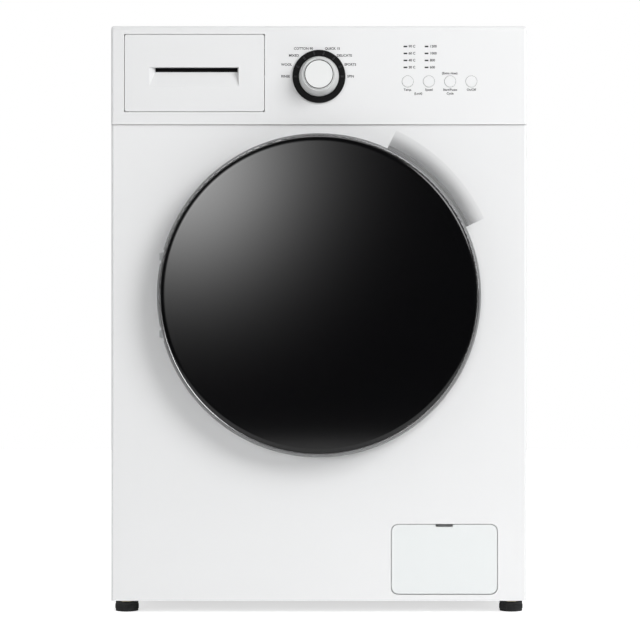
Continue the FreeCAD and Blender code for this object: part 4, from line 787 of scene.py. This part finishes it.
@dataclass
class DrumLooks:
    """The drum's shell with its rows of drain holes, its beaded front and its dished rear wall."""

    radius: float = 235.0
    mouth: float = 160.0
    front: float = -158.0
    back: float = 128.0
    around: int = 84
    along: int = 15
    hole: float = 2.4
    sheet: float = 0.9

    def perforated(self) -> Surface:
        """The wall as a grid of square cells with an eight-cornered hole in the middle of each.

        Each cell has eight points on its border, at its corners and halfway along its sides, and eight
        on its hole, both counted round from the lower corner. The odd rows are set half a cell on.

        Returns:
            The wall's single surface.
        """
        row, column = (grid.ravel() for grid in np.meshgrid(np.arange(self.along), np.arange(self.around),
                                                            indexing="ij"))
        reach = self.back - self.front - 16.0
        deep, wide = reach / self.along, 2 * np.pi / self.around
        border = np.array([(-1, -1), (0, -1), (1, -1), (1, 0), (1, 1), (0, 1), (-1, 1), (-1, 0)], float) / 2
        turn = np.arctan2(border[:, 1], border[:, 0])
        rim = np.stack([np.cos(turn), np.sin(turn)], axis=1) * self.hole
        flat = np.concatenate([border * np.array([wide * self.radius, deep]), rim])
        angle = ((column + 0.5 * (row % 2)) * wide)[:, None] + flat[None, :, 0] / self.radius
        y = (self.front + 8.0 + (row + 0.5) * deep)[:, None] + flat[None, :, 1]
        points = np.stack([self.radius * np.sin(angle), y, AXIS[1] + self.radius * np.cos(angle)], axis=2)
        ring = np.arange(8)
        quad = np.stack([ring, (ring + 1) % 8, (ring + 1) % 8 + 8, ring + 8], axis=1)
        faces = (np.arange(len(row))[:, None, None] * 16 + quad[None]).reshape(-1, 4)
        return Surface(points.reshape(-1, 3) * MM, faces.tolist())

    def build(self) -> None:
        """Makes the perforated wall and the shell's ends, and shows them in place of the plain shell."""
        wall = self.perforated().piece("drum_wall", DRUM_STEEL, "drum", "drum_steel", 60.0)
        skin = wall.modifiers.new("sheet", "SOLIDIFY")
        skin.thickness = self.sheet * MM
        first = wall.data.polygons[0]
        outward = first.normal.dot(first.center - Vector((0.0, 0.0, AXIS[1] * MM))) > 0
        skin.offset = -1.0 if outward else 1.0
        near, far, rim = self.front, self.back, self.radius
        front = eased([(near + 9, rim - 0.4), (near + 2, rim - 0.4), (near, rim - 3), (near, 222),
                       (near + 3, 216), (near + 3, 196), (near, 190), (near, self.mouth + 1.5), (near + 8, self.mouth - 0.6),
                       (near + 8, self.mouth + 0.4), (near + 1, self.mouth + 2.4), (near + 1, 190.5),
                       (near + 4, 196.5), (near + 4, 215.5), (near + 1, 222), (near + 1, rim - 3.6),
                       (near + 2.6, rim - 1.3), (near + 9, rim - 1.3)], 1.6)
        lathe(front, AXIS, 160).piece("drum_front_ring", DRUM_STEEL, "drum", "drum_steel")
        rear = eased([(far - 9, rim - 1.3), (far - 2, rim - 1.3), (far - 1.4, rim - 3), (far - 1.2, 190),
                      (far - 5, 182), (far - 5, 110), (far - 1.2, 102), (far - 1.2, 0.001),
                      (far - 0.3, 0.001), (far - 0.3, 102.5), (far - 4, 110.5), (far - 4, 181.5),
                      (far - 0.3, 190), (far - 0.3, rim - 2.6), (far - 1, rim - 0.4), (far - 9, rim - 0.4)], 1.6)
        lathe(rear, AXIS, 160).piece("drum_rear_wall", DRUM_STEEL, "drum", "drum_steel")
        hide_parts("drum_shell")


@dataclass
class HangingLooks:
    """The springs and hoses between the cabinet and the tub, made as fixed pieces that ride on neither."""

    turns: int = 14
    coil: float = 14.0
    reach: float = 225.0
    depth: float = 25.0
    low: float = 665.0
    high: float = 790.0

    def spring(self, side: int) -> None:
        """One spring: a helix whose radius closes to its axis at both ends, and two straight hooks."""
        path_turn = np.linspace(0.0, 1.0, 14 * 20)
        angle = path_turn * 2 * np.pi * self.turns
        closing = np.clip(np.minimum(path_turn, 1.0 - path_turn) * self.turns, 0.0, 1.0)
        radius = self.coil * np.sin(closing * np.pi / 2)
        x, y = side * self.reach, self.depth
        coil = np.stack([x + radius * np.cos(angle), y + radius * np.sin(angle),
                         self.low + (self.high - self.low) * path_turn], axis=1)
        path = np.vstack([[(x, y, 650.0)], coil, [(x, y, 813.5)]])
        wire = tube(path, np.full(len(path), 2.0), 10)
        name = "left_hanger_spring" if side < 0 else "right_hanger_spring"
        piece = wire.piece(name, SPRING_STEEL, "", "spring_steel", 60.0)
        if side > 0:
            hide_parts("suspension_springs")
        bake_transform(piece)

    def ribbed(self, name: str, path: np.ndarray, outer: float, inner: float,
               pitch: float) -> bpy.types.Object:
        """A ribbed rubber hose whose radius rises and falls along its way.

        Args:
            name: The piece's name.
            path: Its middle line in millimetres, finely divided.
            outer: The radius over a rib.
            inner: The radius between two ribs.
            pitch: The distance from rib to rib.

        Returns:
            The hose.
        """
        run = np.concatenate([[0.0], np.cumsum(np.linalg.norm(np.diff(path, axis=0), axis=1))])
        wave = 0.5 + 0.5 * np.cos(run / pitch * 2 * np.pi)
        ends = np.clip(np.minimum(run, run[-1] - run) / 12.0 - 0.6, 0.0, 1.0)
        radii = outer - (outer - inner) * (1 - wave) * ends
        return tube(path, radii, 28).piece(name, HOSE_RUBBER, "", "hose_rubber", 60.0)

    def build(self) -> None:
        """Makes both springs and both hoses."""
        self.spring(-1)
        self.spring(1)
        rise = np.linspace(656.0, 712.0, 60)
        filling = np.stack([np.full(60, -180.0), np.full(60, -40.0), rise], axis=1)
        filler = self.ribbed("filling_hose", filling, 19.5, 17.6, 7.0)
        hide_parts("tub_hoses")
        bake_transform(filler)
        sump_line = smooth_path([(70, -80, 204), (70, -80, 160), (70, -98, 118), (78, -146, 88),
                                 (100, -164, 78.2), (140, -165, 78.2)], 150)
        sump = self.ribbed("sump_hose", sump_line, 18.0, 15.6, 8.0)
        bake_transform(sump)


@dataclass
class Screws:
    """The rear panel's pan-head screws."""

    head: float = 4.2

    def heads(self, name: str, places: list[tuple[float, float, float]], out: float, body: str) -> None:
        """Screw heads with a recess, facing forward (out -1) or rearward (out 1).

        Args:
            name: The piece's name.
            places: The middle of each seat, in millimetres.
            out: Which way along Y they face.
            body: The body that they hold.
        """
        shape = eased([(0.0, 0.001), (0.0, self.head), (out * 1.2, self.head), (out * 2.3, self.head * 0.62),
                       (out * 2.4, 1.5), (out * 1.2, 1.2), (out * 1.1, 0.001)], 0.5, 3, closed=False)
        whole = None
        for x, y, z in places:
            one = lathe(shape + np.array([y, 0.0]), (x, z), 24, closed=False)
            whole = one if whole is None else whole.joined(one)
        whole.piece(name, BEARING_STEEL, body, "galvanised_steel", 30.0)

    def build(self) -> None:
        """Sets the screws along the rear panel's edges."""
        back = 270.0
        edge = [(x, back, z) for x in (-285.0, 285.0) for z in (60.0, 300.0, 540.0, 780.0)]
        edge += [(x, back, z) for x in (-140.0, 0.0, 140.0) for z in (806.0, 34.0)]
        self.heads("rear_panel_screws", edge, 1.0, "cabinet")


def block(low: Point, high: Point) -> Surface:
    """A plain block: its eight corners are every choice of low or high along X, Y and Z, in millimetres.

    Args:
        low: Its corner at the left, front and bottom.
        high: Its corner at the right, rear and top.

    Returns:
        The closed surface, in metres.
    """
    choice = np.array([[place & 1, place >> 1 & 1, place >> 2 & 1] for place in range(8)])
    points = np.where(choice == 1, np.array(high), np.array(low)) * MM
    sides = [(0, 2, 3, 1), (4, 5, 7, 6), (0, 1, 5, 4), (2, 6, 7, 3), (0, 4, 6, 2), (1, 3, 7, 5)]
    return Surface(points, sides)


@dataclass
class DrawerLooks:
    """A black sheet behind the drawer's hand scoop: painted shade standing in for the shadow inside the finger slot."""

    left: float = -235.5
    right: float = -117.5
    wall: float = -223.45
    low: float = 779.4
    high: float = 793.8

    def build(self) -> None:
        """Lays the black sheet of painted shade on the back wall of the finger slot."""
        # Painted shade: a black block where the slot only holds shadow.
        block((self.left, self.wall - 0.7, self.low), (self.right, self.wall, self.high)).piece(
            "drawer_slot_painted_shade", BLACK_GLOSS_AND_SLOT_SHADE, "drawer", "black_gloss")


@dataclass
class FeetLooks:
    """Zinc nuts and ribbed collars of the levelling feet."""

    def build(self) -> None:
        """Makes a six-sided nut and a ribbed collar for each of the four feet."""
        feet = (("front_left", "left_foot", -279.0, -200.0), ("front_right", "right_foot", 279.0, -200.0),
                ("rear_left", "cabinet", -279.0, 248.0), ("rear_right", "cabinet", 279.0, 248.0))
        for name, body, x, y in feet:
            turn = np.linspace(0.0, 2 * np.pi, 6, endpoint=False)
            heights = np.array([13.1, 13.6, 17.4, 17.9])
            radii = np.array([10.6, 11.6, 11.6, 10.6])
            ring = np.stack([x + radii[:, None] * np.cos(turn), y + radii[:, None] * np.sin(turn),
                             np.broadcast_to(heights[:, None], (4, 6))], axis=2).reshape(-1, 3) * MM
            faces = grid_faces(4, 6, close_columns=True) + [list(range(6)), list(range(18, 24))[::-1]]
            Surface(ring, faces).piece(name + "_nut", NUT_ZINC, body, "galvanised_steel", 20.0)
            ribs = 48
            around = np.linspace(0.0, 2 * np.pi, ribs * 4, endpoint=False)
            grip = 16.55 + 0.55 * (np.cos(around * ribs) > 0)
            levels = np.array([3.0, 3.4, 9.6, 10.0])
            swell = np.array([0.0, 1.0, 1.0, 0.0])
            radius = 16.4 + swell[:, None] * (grip[None] - 16.4)
            collar = np.stack([x + radius * np.cos(around), y + radius * np.sin(around),
                               np.broadcast_to(levels[:, None], radius.shape)], axis=2).reshape(-1, 3) * MM
            count = len(around)
            faces = grid_faces(4, count, close_columns=True)
            faces += [list(range(count)), list(range(3 * count, 4 * count))[::-1]]
            Surface(collar, faces).piece(name + "_collar", FOOT_RUBBER, body, "foot_rubber", 20.0)


@dataclass
class RearLooks:
    """The inlet's thread and the drain spigot's barbs."""

    def build(self) -> None:
        """Makes the thread and the barbs."""
        steps = np.arange(276.5, 283.0, 0.9)
        teeth = np.stack([np.repeat(steps, 2), np.tile([12.6, 13.15], len(steps))], axis=1)
        teeth[1::2, 0] += 0.45
        outline = np.vstack([teeth, [(283.2, 12.4), (276.3, 12.4)]])
        lathe(outline, (-215.0, 765.0), 64).piece("inlet_thread", VALVE_PLASTIC, "cabinet", "valve_plastic")
        barbs = np.array([(274.0, 9.0), (274.0, 9.45), (276.5, 9.45), (276.5, 9.9), (279.0, 9.2),
                          (279.0, 9.9), (281.8, 9.1), (281.8, 9.0)])
        lathe(barbs, (272.0, 700.0), 64).piece("drain_barbs", GREY_PLASTIC, "cabinet", "grey_plastic")


ASSEMBLIES: list = [DoorLooks, KnobLooks, Lettering, KeyLooks, DrawerLooks, GasketLooks, DrumLooks,
                    HangingLooks, Screws, FeetLooks, RearLooks]


def main() -> None:
    """Builds the machine's looks in order, then the studio."""
    logging.basicConfig(level=logging.INFO, format="%(name)s: %(message)s")
    Cabinetry().dress()
    for assembly in ASSEMBLIES:
        assembly().build()
    Studio().build()


if __name__ == "__main__":
    main()
